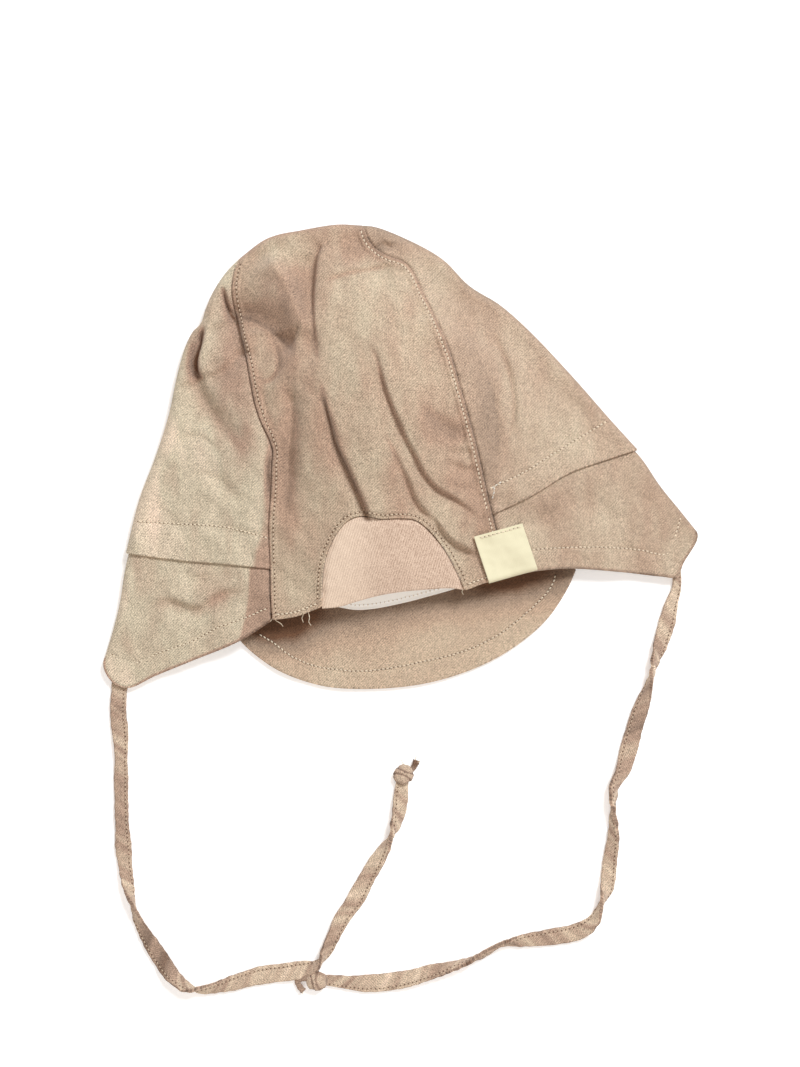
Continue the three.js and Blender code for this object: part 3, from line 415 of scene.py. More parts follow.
seam_left_hem = Curve(SEAM_LEFT_HEM)
seam_left = Curve(SEAM_LEFT_CROWN)
seam_right_hem = Curve(SEAM_RIGHT_HEM)
seam_right = Curve(SEAM_RIGHT_CROWN)
fold_top = Curve(FOLD_TOP)
arch = Curve(PATCH_ARCH)
tuck_left = Curve(TUCK_LEFT)
tuck_right = Curve(TUCK_RIGHT)
hem_left_flap = Curve(HEM_LEFT_FLAP)
hem_right_flap = Curve(HEM_RIGHT_FLAP)
hem_strip_left = Curve(HEM_STRIP_LEFT)
hem_strip_right = Curve(HEM_STRIP_RIGHT)
front_hem_left = Curve(FRONT_HEM_LEFT)
front_hem_crown = Curve(FRONT_HEM_CROWN)
front_hem_right = Curve(FRONT_HEM_RIGHT)
visor_edge = Curve(VISOR_EDGE)
SEAM_LINE_LEFT = np.vstack([seam_left_hem.line[::4], seam_left.line[4::4]])
SEAM_LINE_RIGHT = np.vstack([seam_right_hem.line[::4], seam_right.line[4::4]])
ARCH_LINE = arch.line[::4]


def folded_side():
    """The folded side of the hat: its plan points, fold radii and directions into the hat"""
    spans = [
        (FOLD_LEFT_FLAP, TIP_FOLD_RADIUS, TUCK_FOLD_RADIUS),
        (FOLD_LEFT_CROWN, TUCK_FOLD_RADIUS, CROWN_FOLD_RADIUS),
        (FOLD_TOP, CROWN_FOLD_RADIUS, CROWN_FOLD_RADIUS),
        (FOLD_RIGHT_CROWN[::-1], CROWN_FOLD_RADIUS, TUCK_FOLD_RADIUS),
        (FOLD_RIGHT_FLAP[::-1], TUCK_FOLD_RADIUS, TIP_FOLD_RADIUS),
    ]
    points = []
    radii = []
    share = np.linspace(0, 1, 61)
    for index, (table, start, end) in enumerate(spans):
        skip = 0 if index == 0 else 1
        points.append(Curve(table).at(share)[skip:])
        radii.append(mix(start, end, share)[skip:])
    line = np.vstack(points)
    ahead = np.vstack([line[1:2] - line[:1], line[2:] - line[:-2], line[-1:] - line[-2:-1]])
    return line, np.concatenate(radii), right_of(unit(ahead))


SIDE_LINE, SIDE_RADIUS, SIDE_INWARD = folded_side()


# The form of the upper wall

Crease = namedtuple("Crease", "name depth slopes roll fade dark peak line")
CREASES = [Crease(*row[:-1], sampled(row[-1])) for row in CREASE_TABLE]


def crease_height(crease, points):
    """What one crease adds to the height"""
    line = crease.line
    left_slope, right_slope = crease.slopes
    lip, reach = crease.roll
    margin = 2.2 * max(left_slope, right_slope, reach)
    inside = ((points > line.min(0) - margin) & (points < line.max(0) + margin)).all(1)
    height = np.zeros(len(points))
    if not inside.any():
        return height
    distance, place, side = nearest(line, points[inside])
    along = place / (len(line) - 1)
    start, end = crease.fade
    fade = smooth(along / start) * smooth((1 - along) / end)
    left = np.exp(-((distance / left_slope) ** crease.peak))
    right = bell(distance, right_slope)
    roll = lip * (1 - right) * bell(distance, reach)
    height[inside] = fade * np.where(side < 0, roll - crease.depth * right, -crease.depth * left)
    return height


def ripples(points, seed, wavelengths, amount, headings=(0, 180)):
    """Soft random wrinkles, a sum of waves across the given headings in degrees"""
    dice = np.random.default_rng(RANDOM_SEED + seed)
    height = np.zeros(len(points))
    for _ in range(RIPPLE_WAVES):
        length = dice.uniform(*wavelengths)
        angle = math.radians(dice.uniform(*headings))
        phase = dice.uniform(0, 2 * math.pi)
        way = points @ np.array([math.cos(angle), math.sin(angle)])
        bend = 0.3 * length * np.sin(points @ np.array([-math.sin(angle), math.cos(angle)]) / length + phase)
        height += np.sin(2 * math.pi * (way + bend) / length + phase) * length
    return height * amount / (math.sqrt(RIPPLE_WAVES) * np.mean(wavelengths))


def add_hills(values, points, hills):
    """Adds round hills to values at plan points: each has a centre, a spread and a height"""
    for centre, spread, height in hills:
        values += height * np.exp(-(((points - centre) / spread) ** 2).sum(1) / 2)


def crumpled(points, share=1.0):
    """What creases and wrinkles add to the height of the upper wall, share of the wrinkles"""
    height = share * ripples(points, 1, (16, 34), 0.45)
    height += share * ripples(points, 2, (7, 14), 0.2, (-30, 60))
    height += share * ripples(points, 4, (4, 8), 0.1)
    height += share * ripples(points, 3, (2.6, 4.5), 0.045)
    for crease in CREASES:
        height += crease_height(crease, points)
    return height


def pucker(points, line, seed, wavelength, reach, amount):
    """Small waves across a seam, dying away from it"""
    distance, place, side = nearest(line, points)
    along = np.interp(place, np.arange(len(line)), length_gone(line))
    dice = np.random.default_rng(RANDOM_SEED + seed)
    wave = np.zeros(len(points))
    for _ in range(4):
        length = wavelength * dice.uniform(0.7, 1.5)
        slant = dice.uniform(-0.5, 0.5)
        wave += np.sin(2 * math.pi * (along + slant * distance * side) / length + dice.uniform(0, 6.3))
    calm = 0.55 + 0.45 * np.sin(along / 13 + seed)
    return amount * 0.5 * calm * wave * np.exp(-((distance / reach) ** 1.3))


# Where cloth lies doubled, or dips into a seam: each piece's lines, with the height
# beside the line, how far it stays level and over how much it falls away
LAYERS = {
    "crown_center": [
        (SEAM_LINE_LEFT, 0.7, 2.2, 1.5), (SEAM_LINE_RIGHT, 0.8, 2.4, 1.5),
        (ARCH_LINE, 0.35, 2.4, 1.4), (hem_strip_left.line[::4], 0.3, 3, 1.5),
        (hem_strip_right.line[::4], 0.3, 3, 1.5),
    ],
    "side_left": [(SEAM_LINE_LEFT, -0.7, 0, 1.4), (tuck_left.line[::4], 0.55, 11, 2)],
    "side_right": [(SEAM_LINE_RIGHT, -0.8, 0, 1.4), (tuck_right.line[::4], 0.55, 11, 2)],
    "flap_left": [(SEAM_LINE_LEFT, -0.7, 0, 1.4), (hem_left_flap.line[::4], 0.3, 6, 1.5)],
    "flap_right": [(SEAM_LINE_RIGHT, -0.8, 0, 1.4), (hem_right_flap.line[::4], 0.3, 7, 1.5)],
    "back_patch": [(ARCH_LINE, -0.6, 0.2, 2.2)],
}

# Rows of stitches. A row follows a table of its own or runs beside a curve.
TUCK_STITCHES_LEFT = [(-111.5, -27.5), (-94.5, -28.5), (-73.5, -30), (-55.6, -34.5)]
TUCK_STITCHES_RIGHT = [(87.5, 15), (84, 13), (67.5, 3), (49.5, -8), (36.5, -14)]
FLAP_STITCHES_LEFT = [
    (-122.5, -83), (-120, -86), (-115.5, -87.5), (-111, -87), (-102, -83), (-89, -78.5),
    (-76.5, -72), (-66.5, -68.5), (-55, -63.5),
]
FLAP_STITCHES_RIGHT = [
    (54, -39.5), (71.5, -38.5), (86, -38.5), (100.5, -39.5), (112, -41.5), (115.5, -39),
    (116.5, -33), (118.5, -25.5),
]
VISOR_STITCHES = [
    (-61, -75), (-54, -79), (-47.5, -84), (-37.5, -88.5), (-26.5, -90.5), (-14.5, -91),
    (-0.5, -89), (14, -86), (27, -82.5), (40, -76.5), (49, -70), (60, -60), (64.5, -54),
    (66, -49),
]


def row_beside(piece, curve, offset, part=(0, 1), look="light"):
    """A row of stitches beside part of a curve"""
    start, end = part
    count = max(2, int(curve.length * (end - start) / ROW_STEP))
    return {"piece": piece, "look": look, "points": curve.beside(np.linspace(start, end, count), offset)}


def row_along(piece, table, look="light"):
    """A row of stitches along a table of points"""
    count = max(2, int(Curve(table).length / ROW_STEP))
    return {"piece": piece, "look": look, "points": sampled(table, count)}


STITCH_ROWS = [
    row_beside("crown_center", seam_left_hem, 1.8, look="dotted"),
    row_beside("crown_center", seam_left, 1.8, (0.01, 0.985), "dotted"),
    row_beside("crown_center", seam_right_hem, -1.6, (0.66, 1)),
    row_beside("crown_center", seam_right, -1.6, (0.01, 0.985)),
    row_beside("crown_center", arch, -1.7, (0.02, 0.98), "dotted"),
    row_beside("crown_center", hem_strip_left, -1.6, (0.05, 0.97)),
    row_beside("crown_center", hem_strip_right, -1.6, (0.05, 0.6)),
    row_along("side_left", TUCK_STITCHES_LEFT),
    row_along("side_right", TUCK_STITCHES_RIGHT),
    row_along("flap_left", FLAP_STITCHES_LEFT),
    row_along("flap_right", FLAP_STITCHES_RIGHT),
    row_along("visor", VISOR_STITCHES),
    row_beside("inner_band", front_hem_crown, -1.7, (0.1, 0.9), "band"),
    row_along("label", [(32.2, -34.6), (41, -32.3), (50.4, -29.8)]),
    row_along("side_right", [(36.8, -14.6), (39.2, -12.8), (42.2, -10.8)], "tack"),
    row_along("side_right", [(39, -12.2), (38.6, -15), (37.8, -18.6)], "tack"),
]


def groove(points, piece, depth):
    """How far the rows of stitches press a piece's cloth down"""
    pressed = np.zeros(len(points))
    for row in STITCH_ROWS:
        if row["piece"] == piece:
            pressed += depth * bell(nearest(row["points"][::3], points)[0], 0.8)
    return pressed


def relief(points, piece):
    """What layers, stitches and puckers add to a piece's height"""
    height = np.zeros(len(points))
    for line, lift, level, fall in LAYERS[piece]:
        height += lift * (1 - smooth((nearest(line, points)[0] - level) / fall))
    height -= groove(points, piece, GROOVE_DEPTH)
    if piece in ("crown_center", "side_left", "flap_left"):
        height += pucker(points, SEAM_LINE_LEFT, 11, 9, 7, 0.35)
    if piece in ("crown_center", "side_right", "flap_right"):
        height += pucker(points, SEAM_LINE_RIGHT, 12, 7, 8, 0.5)
    if piece in ("crown_center", "back_patch"):
        height += pucker(points, ARCH_LINE, 13, 8, 4, 0.16)
    return height


def wall(plan, piece, upper, inset=0.0, dressed=True):
    """A piece's wall over a grid of plan points: its points, and its unrolled places for the weave"""
    points = plan.reshape(-1, 2)
    distance, place, _ = nearest(SIDE_LINE, points)
    index = np.minimum(place.astype(int), len(SIDE_LINE) - 2)
    part = place - index
    radius = mix(SIDE_RADIUS[index], SIDE_RADIUS[index + 1], part)
    inward = mix(SIDE_INWARD[index], SIDE_INWARD[index + 1], part[:, None])
    upper = np.broadcast_to(upper, plan.shape[:-1]).ravel()
    inset = np.broadcast_to(inset, plan.shape[:-1]).ravel()
    cos = 1 - np.minimum(distance / radius, 1)
    sin = np.sqrt(1 - cos**2)
    risen = 1 - bell(np.maximum(distance - radius, 0), RISE_LENGTH)
    bottom = radius * (1 - sin) + inset * sin
    over = points[upper]
    top = radius * (1 + sin) - inset * sin
    puffed = np.full(len(over), FLAT_HEIGHT)
    add_hills(puffed, over, PUFFS)
    top[upper] += risen[upper] * (puffed - 2 * radius[upper])
    near_fold = smooth(distance[upper] / (0.9 * radius[upper]))
    top[upper] += crumpled(over, 0.35 if piece == "back_patch" else 1) * near_fold
    if dressed:
        top[upper] += relief(over, piece) * near_fold
    top = np.maximum(top, bottom + 2.2 * CLOTH * np.minimum(distance / radius, 1) ** 0.5)
    z = np.where(upper, top, bottom)
    shifted = points + inward * (inset * cos)[:, None]
    # unrolled: how far the cloth runs from the silhouette, beyond what the plan shows
    rolled = radius * np.arccos(cos) + np.maximum(distance - radius, 0)
    turned = np.where(upper, (rolled - distance) * bell(distance, UNROLL_REACH), -rolled - distance)
    unrolled = points + inward * turned[:, None]
    placed = np.column_stack([shifted, z]).reshape(*plan.shape[:-1], 3)
    return placed, unrolled.reshape(plan.shape)


# Meshes

def field(bottom, top, left, right, across, along):
    """A grid of plan points between four borders"""
    u = across[..., None]
    v = along[:, None, None]
    sides = mix(left(along[:, None]), right(along[:, None]), u)
    ends = mix(bottom(across), top(across), v)
    low = mix(left(0.0), right(0.0), u)
    high = mix(left(1.0), right(1.0), u)
    return sides + ends - mix(low, high, v)


def border_of(grid):
    """The edge of a grid as one loop: along the bottom, up, back along the top and down"""
    return np.concatenate([grid[0, :-1], grid[:-1, -1], grid[-1, :0:-1], grid[:0:-1, 0]])


def inner_neighbours(grid):
    """For each place of the edge loop, the next place inside"""
    bottom = grid[1, :-1].copy()
    right = grid[:-1, -2].copy()
    top = grid[-2, :0:-1].copy()
    left = grid[:0:-1, 1].copy()
    bottom[0] = grid[1, 1]
    right[0] = grid[1, -2]
    top[0] = grid[-2, -2]
    left[0] = grid[-2, 1]
    return np.concatenate([bottom, right, top, left])


def round_edge(outer, inner, rounding):
    """Loops of points that close a sheet's edge with a round, from its outer to its inner face

    rounding is how far the bottom, right, top and left edges bulge.
    """
    numbers = np.arange(outer.shape[0] * outer.shape[1]).reshape(outer.shape[:2])
    flat = outer.reshape(-1, 3)
    edge = flat[border_of(numbers)]
    within = flat[inner_neighbours(numbers)]
    under = inner.reshape(-1, 3)[border_of(numbers)]
    ahead = np.roll(edge, -1, 0) - np.roll(edge, 1, 0)
    ahead /= np.maximum(np.linalg.norm(ahead, axis=1, keepdims=True), 1e-9)
    out = edge - within
    out -= (out * ahead).sum(1, keepdims=True) * ahead
    out /= np.maximum(np.linalg.norm(out, axis=1, keepdims=True), 1e-9)
    rows, columns = outer.shape[:2]
    counts = (columns - 1, rows - 1, columns - 1, rows - 1)
    bulge = np.concatenate([np.full(count, value) for count, value in zip(counts, rounding)])[:, None]
    return [
        mix(edge, under, share) + out * bulge * math.sin(math.pi * share) ** 0.7
        for share in (0.12, 0.34, 0.66, 0.88)
    ]


def body_volume(points, quads):
    """Six times the signed volume inside a closed mesh of four-sided faces"""
    a, b, c, d = (points[quads[:, k]] for k in range(4))
    return (a * np.cross(b, c)).sum() + (a * np.cross(c, d)).sum()


def new_mesh(name, points, faces, places, tones=None):
    """A mesh object from points in mm, with its unrolled places as UVs and its tone"""
    mesh = bpy.data.meshes.new(name)
    mesh.from_pydata((points * MM).tolist(), [], faces)
    layer = mesh.uv_layers.new(name="cloth")
    corners = np.empty(len(mesh.loops), int)
    mesh.loops.foreach_get("vertex_index", corners)
    layer.data.foreach_set("uv", (places.reshape(-1, 2)[corners] * MM).ravel())
    if tones is not None:
        mesh.attributes.new("tone", "FLOAT", "POINT").data.foreach_set("value", tones.ravel())
    mesh.shade_smooth()
    made = bpy.data.objects.new(name, mesh)
    bpy.context.scene.collection.objects.link(made)
    return made


def sheet(name, outer, inner, places, tones, rounding):
    """A closed body of cloth between two grids of points, with round edges"""
    rows, columns = outer.shape[:2]
    numbers = np.arange(rows * columns).reshape(rows, columns)
    loops = round_edge(outer, inner, rounding)
    edge = border_of(numbers)
    points = np.vstack([outer.reshape(-1, 3), inner.reshape(-1, 3), *loops])
    a, b, c, d = numbers[:-1, :-1], numbers[:-1, 1:], numbers[1:, 1:], numbers[1:, :-1]
    faces = [
        np.stack([a, b, c, d], -1).reshape(-1, 4),
        rows * columns + np.stack([a, d, c, b], -1).reshape(-1, 4),
    ]
    first = 2 * rows * columns
    rings = [edge]
    rings += [first + k * len(edge) + np.arange(len(edge)) for k in range(len(loops))]
    rings.append(rows * columns + edge)
    for near, far in zip(rings, rings[1:]):
        faces.append(np.stack([np.roll(near, -1), near, far, np.roll(far, -1)], -1))
    quads = np.vstack(faces)
    if body_volume(points, quads) < 0:
        quads = quads[:, ::-1]
    # both faces and every loop of the edge have the same places and tones
    source = np.concatenate([numbers.ravel(), numbers.ravel()] + [edge] * len(loops))
    return new_mesh(name, points, quads.tolist(), places.reshape(-1, 2)[source], tones.ravel()[source])


def tube_faces(count, around):
    """Numbers of the points of a tube's rings, and the four-sided faces between the rings"""
    numbers = np.arange(count * around).reshape(count, around)
    after = np.roll(numbers, -1, 1)
    return numbers, np.stack([numbers[:-1], after[:-1], after[1:], numbers[1:]], -1).reshape(-1, 4)


def swept(name, parts, places, tones=None):
    """A body of one or more closed tubes along rings of points, with flat ends"""
    faces = []
    start = 0
    for rings in parts:
        numbers, quads = tube_faces(*rings.shape[:2])
        faces += (start + quads).tolist()
        faces += [(start + numbers[0, ::-1]).tolist(), (start + numbers[-1]).tolist()]
        start += numbers.size
    return new_mesh(name, np.vstack([rings.reshape(-1, 3) for rings in parts]), faces, places, tones)


def finished(piece, material, slot, *nodes):
    """Gives a piece its material and its body, and hides the solids it stands for"""
    piece.data.materials.append(material)
    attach(piece, "root")
    if nodes:
        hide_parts(*nodes)
    return piece


# Closely spaced places near a seam or hem and near a fold, in mm from it
NEAR_EDGE = np.array([0, 0.25, 0.6, 1.1, 1.7, 2.4])
NEAR_FOLD = np.array([0, 0.12, 0.45, 0.95, 1.65, 2.5, 3.5])
NEAR_TOP = np.array([0.6, 1.2, 2.0])
OPEN_END = np.array([0.0])


def stations(length, step, near_start=NEAR_EDGE, near_end=NEAR_EDGE):
    """Places along a length in mm, closer together near its ends"""
    count = max(int((length - near_start[-1] - near_end[-1]) / step), 1)
    middle = np.linspace(near_start[-1], length - near_end[-1], count + 1)[1:-1]
    return np.concatenate([near_start, middle, (length - near_end)[::-1]])


def folded_columns(lengths, coarse_count):
    """Places across a folded panel: from its seam to the fold, and back below, as shares"""
    count = int((lengths.max() - NEAR_EDGE[-1] - NEAR_FOLD[-1]) / FINE)
    room = lengths[:, None]
    squeeze = np.minimum(1, room / (3 * (NEAR_EDGE[-1] + NEAR_FOLD[-1])))
    seam = np.minimum(SEAM_DRAW, room / 4) + squeeze * NEAR_EDGE
    fold = room - squeeze * NEAR_FOLD[::-1]
    part = np.linspace(0, 1, count + 1)[1:-1]
    middle = mix(seam[:, -1:], fold[:, :1], part)
    over = np.hstack([seam, middle, fold]) / room
    part = np.linspace(0, 1, coarse_count + 1)[1:]
    under = np.hstack([fold[:, -2::-1], mix(fold[:, :1], seam[:, :1], part)]) / room
    upper = np.concatenate([np.ones(over.shape[1], bool), np.zeros(under.shape[1], bool)])
    return np.hstack([over, under]), upper


# Tone is -1 for a pale rose, 0 for sand, 1 for the rose that shows near seams and in
# creases, 2 for a dusky rose and 3 for brown. The higher tones are partly painted shade,
# in creases, seams and hems and where the hat shades the visor and the ties twist.
# Each piece starts from one of these.
TONES = {
    "crown_center": 0.5, "side_left": 0.0, "side_right": 0.45, "flap_left": 0.15,
    "flap_right": 0.5, "visor": 0.62,
}
# Spots of another tone, partly the cloth's uneven dye and partly painted shade and
# painted light: centre, how far it spreads and what it adds
DYE_SHADE_AND_LIGHT_SPOTS = [
    ((-6, 60), (15, 20), -0.35), ((-16, 86), (11, 6), 0.6), ((-47, 62), (7, 11), 0.75),
    ((-61, 60.5), (5, 3), 0.8), ((-48, -2), (4, 24), 0.7), ((-44, -48), (8, 14), -0.35),
    ((-35, 30), (4, 10), 0.3), ((6, 50), (9, 22), 0.2), ((28, 66), (9, 12), 0.3),
    ((40, 32), (6, 28), 0.3), ((35, 25), (7, 20), 0.35), ((-2, 90), (16, 6), 0.3),
    ((-64, 20), (4, 14), 0.7), ((17, 41), (10, 6), 0.5), ((20, 9), (9, 5), 0.7),
    ((25, -8), (6, 7), 0.5), ((36, 2), (4, 18), 0.6), ((-71, 47), (5, 10), 1), ((-88, 39), (2, 6), 1.5),
    ((-78, 20), (9, 10), 0.35), ((104, -28), (6, 16), 0.3), ((-78, 62), (10, 7), 0.35),
    ((-50, 86), (10, 5), -0.45), ((-56, 38.5), (6, 5), -0.4), ((-71, 31), (6, 8), 0.45),
    ((58, -22), (12, 5), 0.5),
]
# Bands of another tone along folds and seams, left or right of a line that is read
# down the page; edge is how soft their border is, and a higher start fades them in
TONE_BANDS = [
    {"piece": "side_left", "on": "left", "add": -0.4, "edge": 2, "start": 12, "line": sampled([
        (-86, 32), (-89.9, 25.4), (-94, 10.7), (-97.3, 0.3), (-99.9, -6), (-101.1, -18.1),
        (-101.7, -28.2), (-103, -44)])},
    {"piece": "side_left", "on": "right", "add": 1.05, "edge": 1.6, "start": 6, "line": sampled([
        (-54.5, 8), (-56.3, -6), (-57.6, -28.2), (-60.5, -40.3), (-62, -49)])},
    {"piece": "flap_left", "on": "left", "add": -0.35, "edge": 2, "start": 0.1, "line": sampled([
        (-112, -38), (-112.1, -42.9), (-113.4, -55.5), (-116.3, -64.7), (-118, -75.2),
        (-114.7, -83.6), (-109.6, -90.8), (-107, -100)])},
    {"piece": "flap_left", "on": "right", "add": 1.25, "edge": 1, "start": 0.1, "line": sampled([
        (-61.5, -38), (-63.2, -47.9), (-63.8, -60.5), (-67.5, -77.2), (-68.6, -83)])},
]


def tone_of(points, piece):
    """How rose the cloth is at plan points of a piece, with painted shade and painted light"""
    tone = np.full(len(points), TONES[piece])
    add_hills(tone, points, DYE_SHADE_AND_LIGHT_SPOTS)
    tone += ripples(points, 21, (14, 40), 0.16)
    tone += ripples(points, 22, (5, 14), 0.1, (-15, 15))
    for band in TONE_BANDS:
        if band["piece"] == piece:
            distance, place, side = nearest(band["line"], points)
            inside = distance * side * (1 if band["on"] == "left" else -1)
            tone += band["add"] * smooth(0.5 + 0.5 * inside / band["edge"]) * smooth(place / band["start"])
    # rose near the seams, and along the lower part of each seam a narrow line of painted shade
    for line in (SEAM_LINE_LEFT, SEAM_LINE_RIGHT):
        distance, place, _ = nearest(line, points)
        low = smooth(3 - 3 * place / (len(line) - 1))
        tone += 0.15 * bell(distance, 3) + 0.7 * low * bell(distance, 0.65)
    # painted shade along the flaps' hems, whose edges turn down out of the light
    for table in (HEM_LEFT_FLAP, HEM_RIGHT_FLAP):
        tone += 1.3 * bell(nearest(sampled(table, 65), points)[0], 0.6)
    # painted shade in the creases: deep ones are rose beside their line, and each is darker right in it
    for crease in CREASES:
        distance, place, _ = nearest(crease.line, points)
        along = place / (len(crease.line) - 1)
        fade = smooth(along * 4) * smooth((1 - along) * 4)
        if crease.depth > DEEP_CREASE:
            tone += 0.4 * fade * bell(distance, 2.5)
        tone += crease.dark * fade * bell(distance, 0.8)
    # painted shade along the folded side of the right pieces, where the cloth rolls down
    if piece in ("side_right", "crown_center", "flap_right"):
        distance = nearest(SIDE_LINE, points)[0]
        tone += 0.9 * bell(distance, 1.3) + 0.25 * bell(distance, 6)
    return np.clip(tone, -1, 3)


# The two sides of the hat

LEFT = {
    "seam": seam_left, "hem_seam": seam_left_hem, "fold": Curve(FOLD_LEFT_CROWN),
    "flap_fold": Curve(FOLD_LEFT_FLAP), "tuck": tuck_left, "hem": hem_left_flap,
    "front_seam": Curve(FRONT_SEAM_LEFT_CROWN), "front_hem_seam": Curve(FRONT_SEAM_LEFT_HEM),
    "front_hem": front_hem_left,
}
RIGHT = {
    "seam": seam_right, "hem_seam": seam_right_hem, "fold": Curve(FOLD_RIGHT_CROWN),
    "flap_fold": Curve(FOLD_RIGHT_FLAP), "tuck": tuck_right, "hem": hem_right_flap,
    "front_seam": Curve(FRONT_SEAM_RIGHT_CROWN), "front_hem_seam": Curve(FRONT_SEAM_RIGHT_HEM),
    "front_hem": front_hem_right,
}


# Pieces of cloth

def cloth_piece(name, plan, upper, rounding, inset=0.0, tones=None):
    """A closed piece of cloth over plan points, with inset as how deep it lies in the fold"""
    if tones is None:
        tones = tone_of(plan.reshape(-1, 2), name)
    outer, places = wall(plan, name, upper, inset)
    inner, _ = wall(plan, name, upper, inset + CLOTH, dressed=False)
    return sheet(name, outer, inner, places, tones, rounding)


def crown_rows():
    """Shares along the strip's seams, with the waist as one of them"""
    seam_length = seam_left_hem.length + seam_left.length
    low = stations(seam_length * WAIST_SHARE, SEAM_STEP, NEAR_EDGE, OPEN_END)
    high = stations(seam_length * (1 - WAIST_SHARE), SEAM_STEP, OPEN_END, NEAR_FOLD)
    return low / low[-1], high[1:] / high[-1]


def strip_stations():
    """The strip's columns, as shares across it at the hem"""
    left = np.array([0, 0.005, 0.011, 0.019, 0.029, 0.041])
    first = np.linspace(left[-1], ARCH_FROM, 22)[1:]
    over_arch = np.linspace(ARCH_FROM, ARCH_TO, 112)[1:]
    right = 1 - left[::-1]
    last = np.linspace(ARCH_TO, right[0], 20)[1:-1]
    return np.concatenate([left, first, over_arch, last, right])


def strip_hem(across):
    """The strip's lower border: its hem, the arch over the patch and its hem again"""
    over = (across - ARCH_FROM) / (ARCH_TO - ARCH_FROM)
    ends = smooth(np.minimum(over, 1 - over) / 0.05)
    outside = arch.at(over) + (0.15 + 0.3 * ends)[..., None] * (
        arch.beside(np.clip(over, 0, 1), -1.0) - arch.at(over))
    left = hem_strip_left.at(across / ARCH_FROM)
    right = hem_strip_right.at((across - ARCH_TO) / (1 - ARCH_TO))
    picked = np.where((across < ARCH_FROM)[..., None], left, outside)
    return np.where((across > ARCH_TO)[..., None], right, picked)


def make_crown_center():
    """The middle strip: up the back, over the folded top and down the front"""
    left_seam, right_seam, front_left, front_right = (
        Joined(side[low], side[high])
        for low, high in (("hem_seam", "seam"), ("front_hem_seam", "front_seam"))
        for side in (LEFT, RIGHT)
    )
    waist_left = left_seam.at(WAIST_SHARE)
    waist_right = right_seam.at(WAIST_SHARE)
    low, high = crown_rows()
    base = strip_stations()

    def drawn_in(left, right):
        draw = SEAM_DRAW / np.linalg.norm(left - right, axis=-1, keepdims=True)
        start = draw * np.maximum(0, 1 - base / ARCH_FROM)
        end = draw * np.maximum(0, 1 - (1 - base) / (1 - ARCH_TO))
        return base + start - end

    def at_waist(across):
        return np.interp(across, ACROSS_HEM, ACROSS_WAIST)

    def waist(across):
        return mix(waist_left, waist_right, across[..., None])

    def part_of(seam, start, end):
        return lambda share: seam.at(mix(start, end, share))

    below = low * WAIST_SHARE
    across = drawn_in(left_seam.at(below), right_seam.at(below))
    low_plan = field(strip_hem, lambda u: waist(at_waist(u)), part_of(left_seam, 0, WAIST_SHARE),
                     part_of(right_seam, 0, WAIST_SHARE), across, low)
    above = mix(WAIST_SHARE, 1, high)
    across = at_waist(drawn_in(left_seam.at(above), right_seam.at(above)))
    high_plan = field(waist, fold_top.at, part_of(left_seam, WAIST_SHARE, 1),
                      part_of(right_seam, WAIST_SHARE, 1), across, high)
    length = LEFT["front_hem_seam"].length + LEFT["front_seam"].length
    falling = 1 - stations(length, COARSE, NEAR_FOLD, NEAR_EDGE)[1:] / length
    across = at_waist(drawn_in(front_left.at(falling), front_right.at(falling)))
    front_plan = field(front_hem_crown.at, fold_top.at, front_left.at, front_right.at, across, falling)
    plan = np.concatenate([low_plan, high_plan, front_plan])
    upper = np.concatenate([np.ones(len(low) + len(high), bool), np.zeros(len(falling), bool)])
    rounding = (HEM_ROUND, SEAM_ROUND, HEM_ROUND, SEAM_ROUND)
    return cloth_piece("crown_center", plan, upper[:, None], rounding)


def side_plan(side, upper, across, along):
    """Plan points of a side panel, whose lower rows follow the tuck"""
    v = along[:, None]
    fold = side["fold"].at(v)
    seam = np.where(upper[None, :, None], side["seam"].at(v), side["front_seam"].at(v))
    straight = mix(seam, fold, across[..., None])
    chord = mix(side["tuck"].at(0.0), side["tuck"].at(1.0), across[..., None])
    bend = side["tuck"].at(across) - chord
    return straight + bend * (1 - v[..., None]) ** 2


def make_side(name, side):
    """A side panel, folded at the hat's side, with a tuck along its lower edge"""
    length = side["seam"].length
    along = stations(length, SEAM_STEP, NEAR_EDGE, NEAR_TOP) / length
    lengths = np.linalg.norm(side["seam"].at(along) - side["fold"].at(along), axis=1)
    across, upper = folded_columns(lengths, 14)
    plan = side_plan(side, upper, across, along)
    return cloth_piece(name, plan, upper, (HEM_ROUND, SEAM_ROUND, SEAM_ROUND, SEAM_ROUND))


def make_flap(name, side):
    """An ear flap: it starts under the tuck, comes out from under it and ends at its hem"""
    under = TUCK_OVERLAP / side["seam"].length
    hidden = np.linspace(under, 0, 4)[:-1]
    flap_length = side["hem_seam"].length * FLAP_STRETCH
    shown = 1 - stations(flap_length, FINE, OPEN_END, NEAR_EDGE) / flap_length
    rows = np.concatenate([hidden, shown])
    is_side = (np.arange(len(rows)) < len(hidden))[:, None]
    seam = np.where(is_side, side["seam"].at(rows), side["hem_seam"].at(rows))
    fold = np.where(is_side, side["fold"].at(rows), side["flap_fold"].at(rows))
    across, upper = folded_columns(np.linalg.norm(seam - fold, axis=1), 12)
    hidden_plan = side_plan(side, upper, across[:len(hidden)], hidden)
    top_plan, low_plan = (
        field(side[hem].at, side["tuck"].at, side[inner_side].at, side["flap_fold"].at,
              across[len(hidden):], shown)
        for hem, inner_side in (("hem", "hem_seam"), ("front_hem", "front_hem_seam"))
    )
    shown_plan = np.where(upper[None, :, None], top_plan, low_plan)
    plan = np.concatenate([hidden_plan, shown_plan])
    out = np.clip((1 - shown) * side["hem_seam"].length * 1.2 / TUCK_RELEASE, 0, 1)
    inset = np.concatenate([np.full(len(hidden), NESTED), NESTED * (1 - out) ** 2])
    rounding = (SEAM_ROUND, SEAM_ROUND, HEM_ROUND, SEAM_ROUND)
    return cloth_piece(name, plan, upper, rounding, inset[:, None])


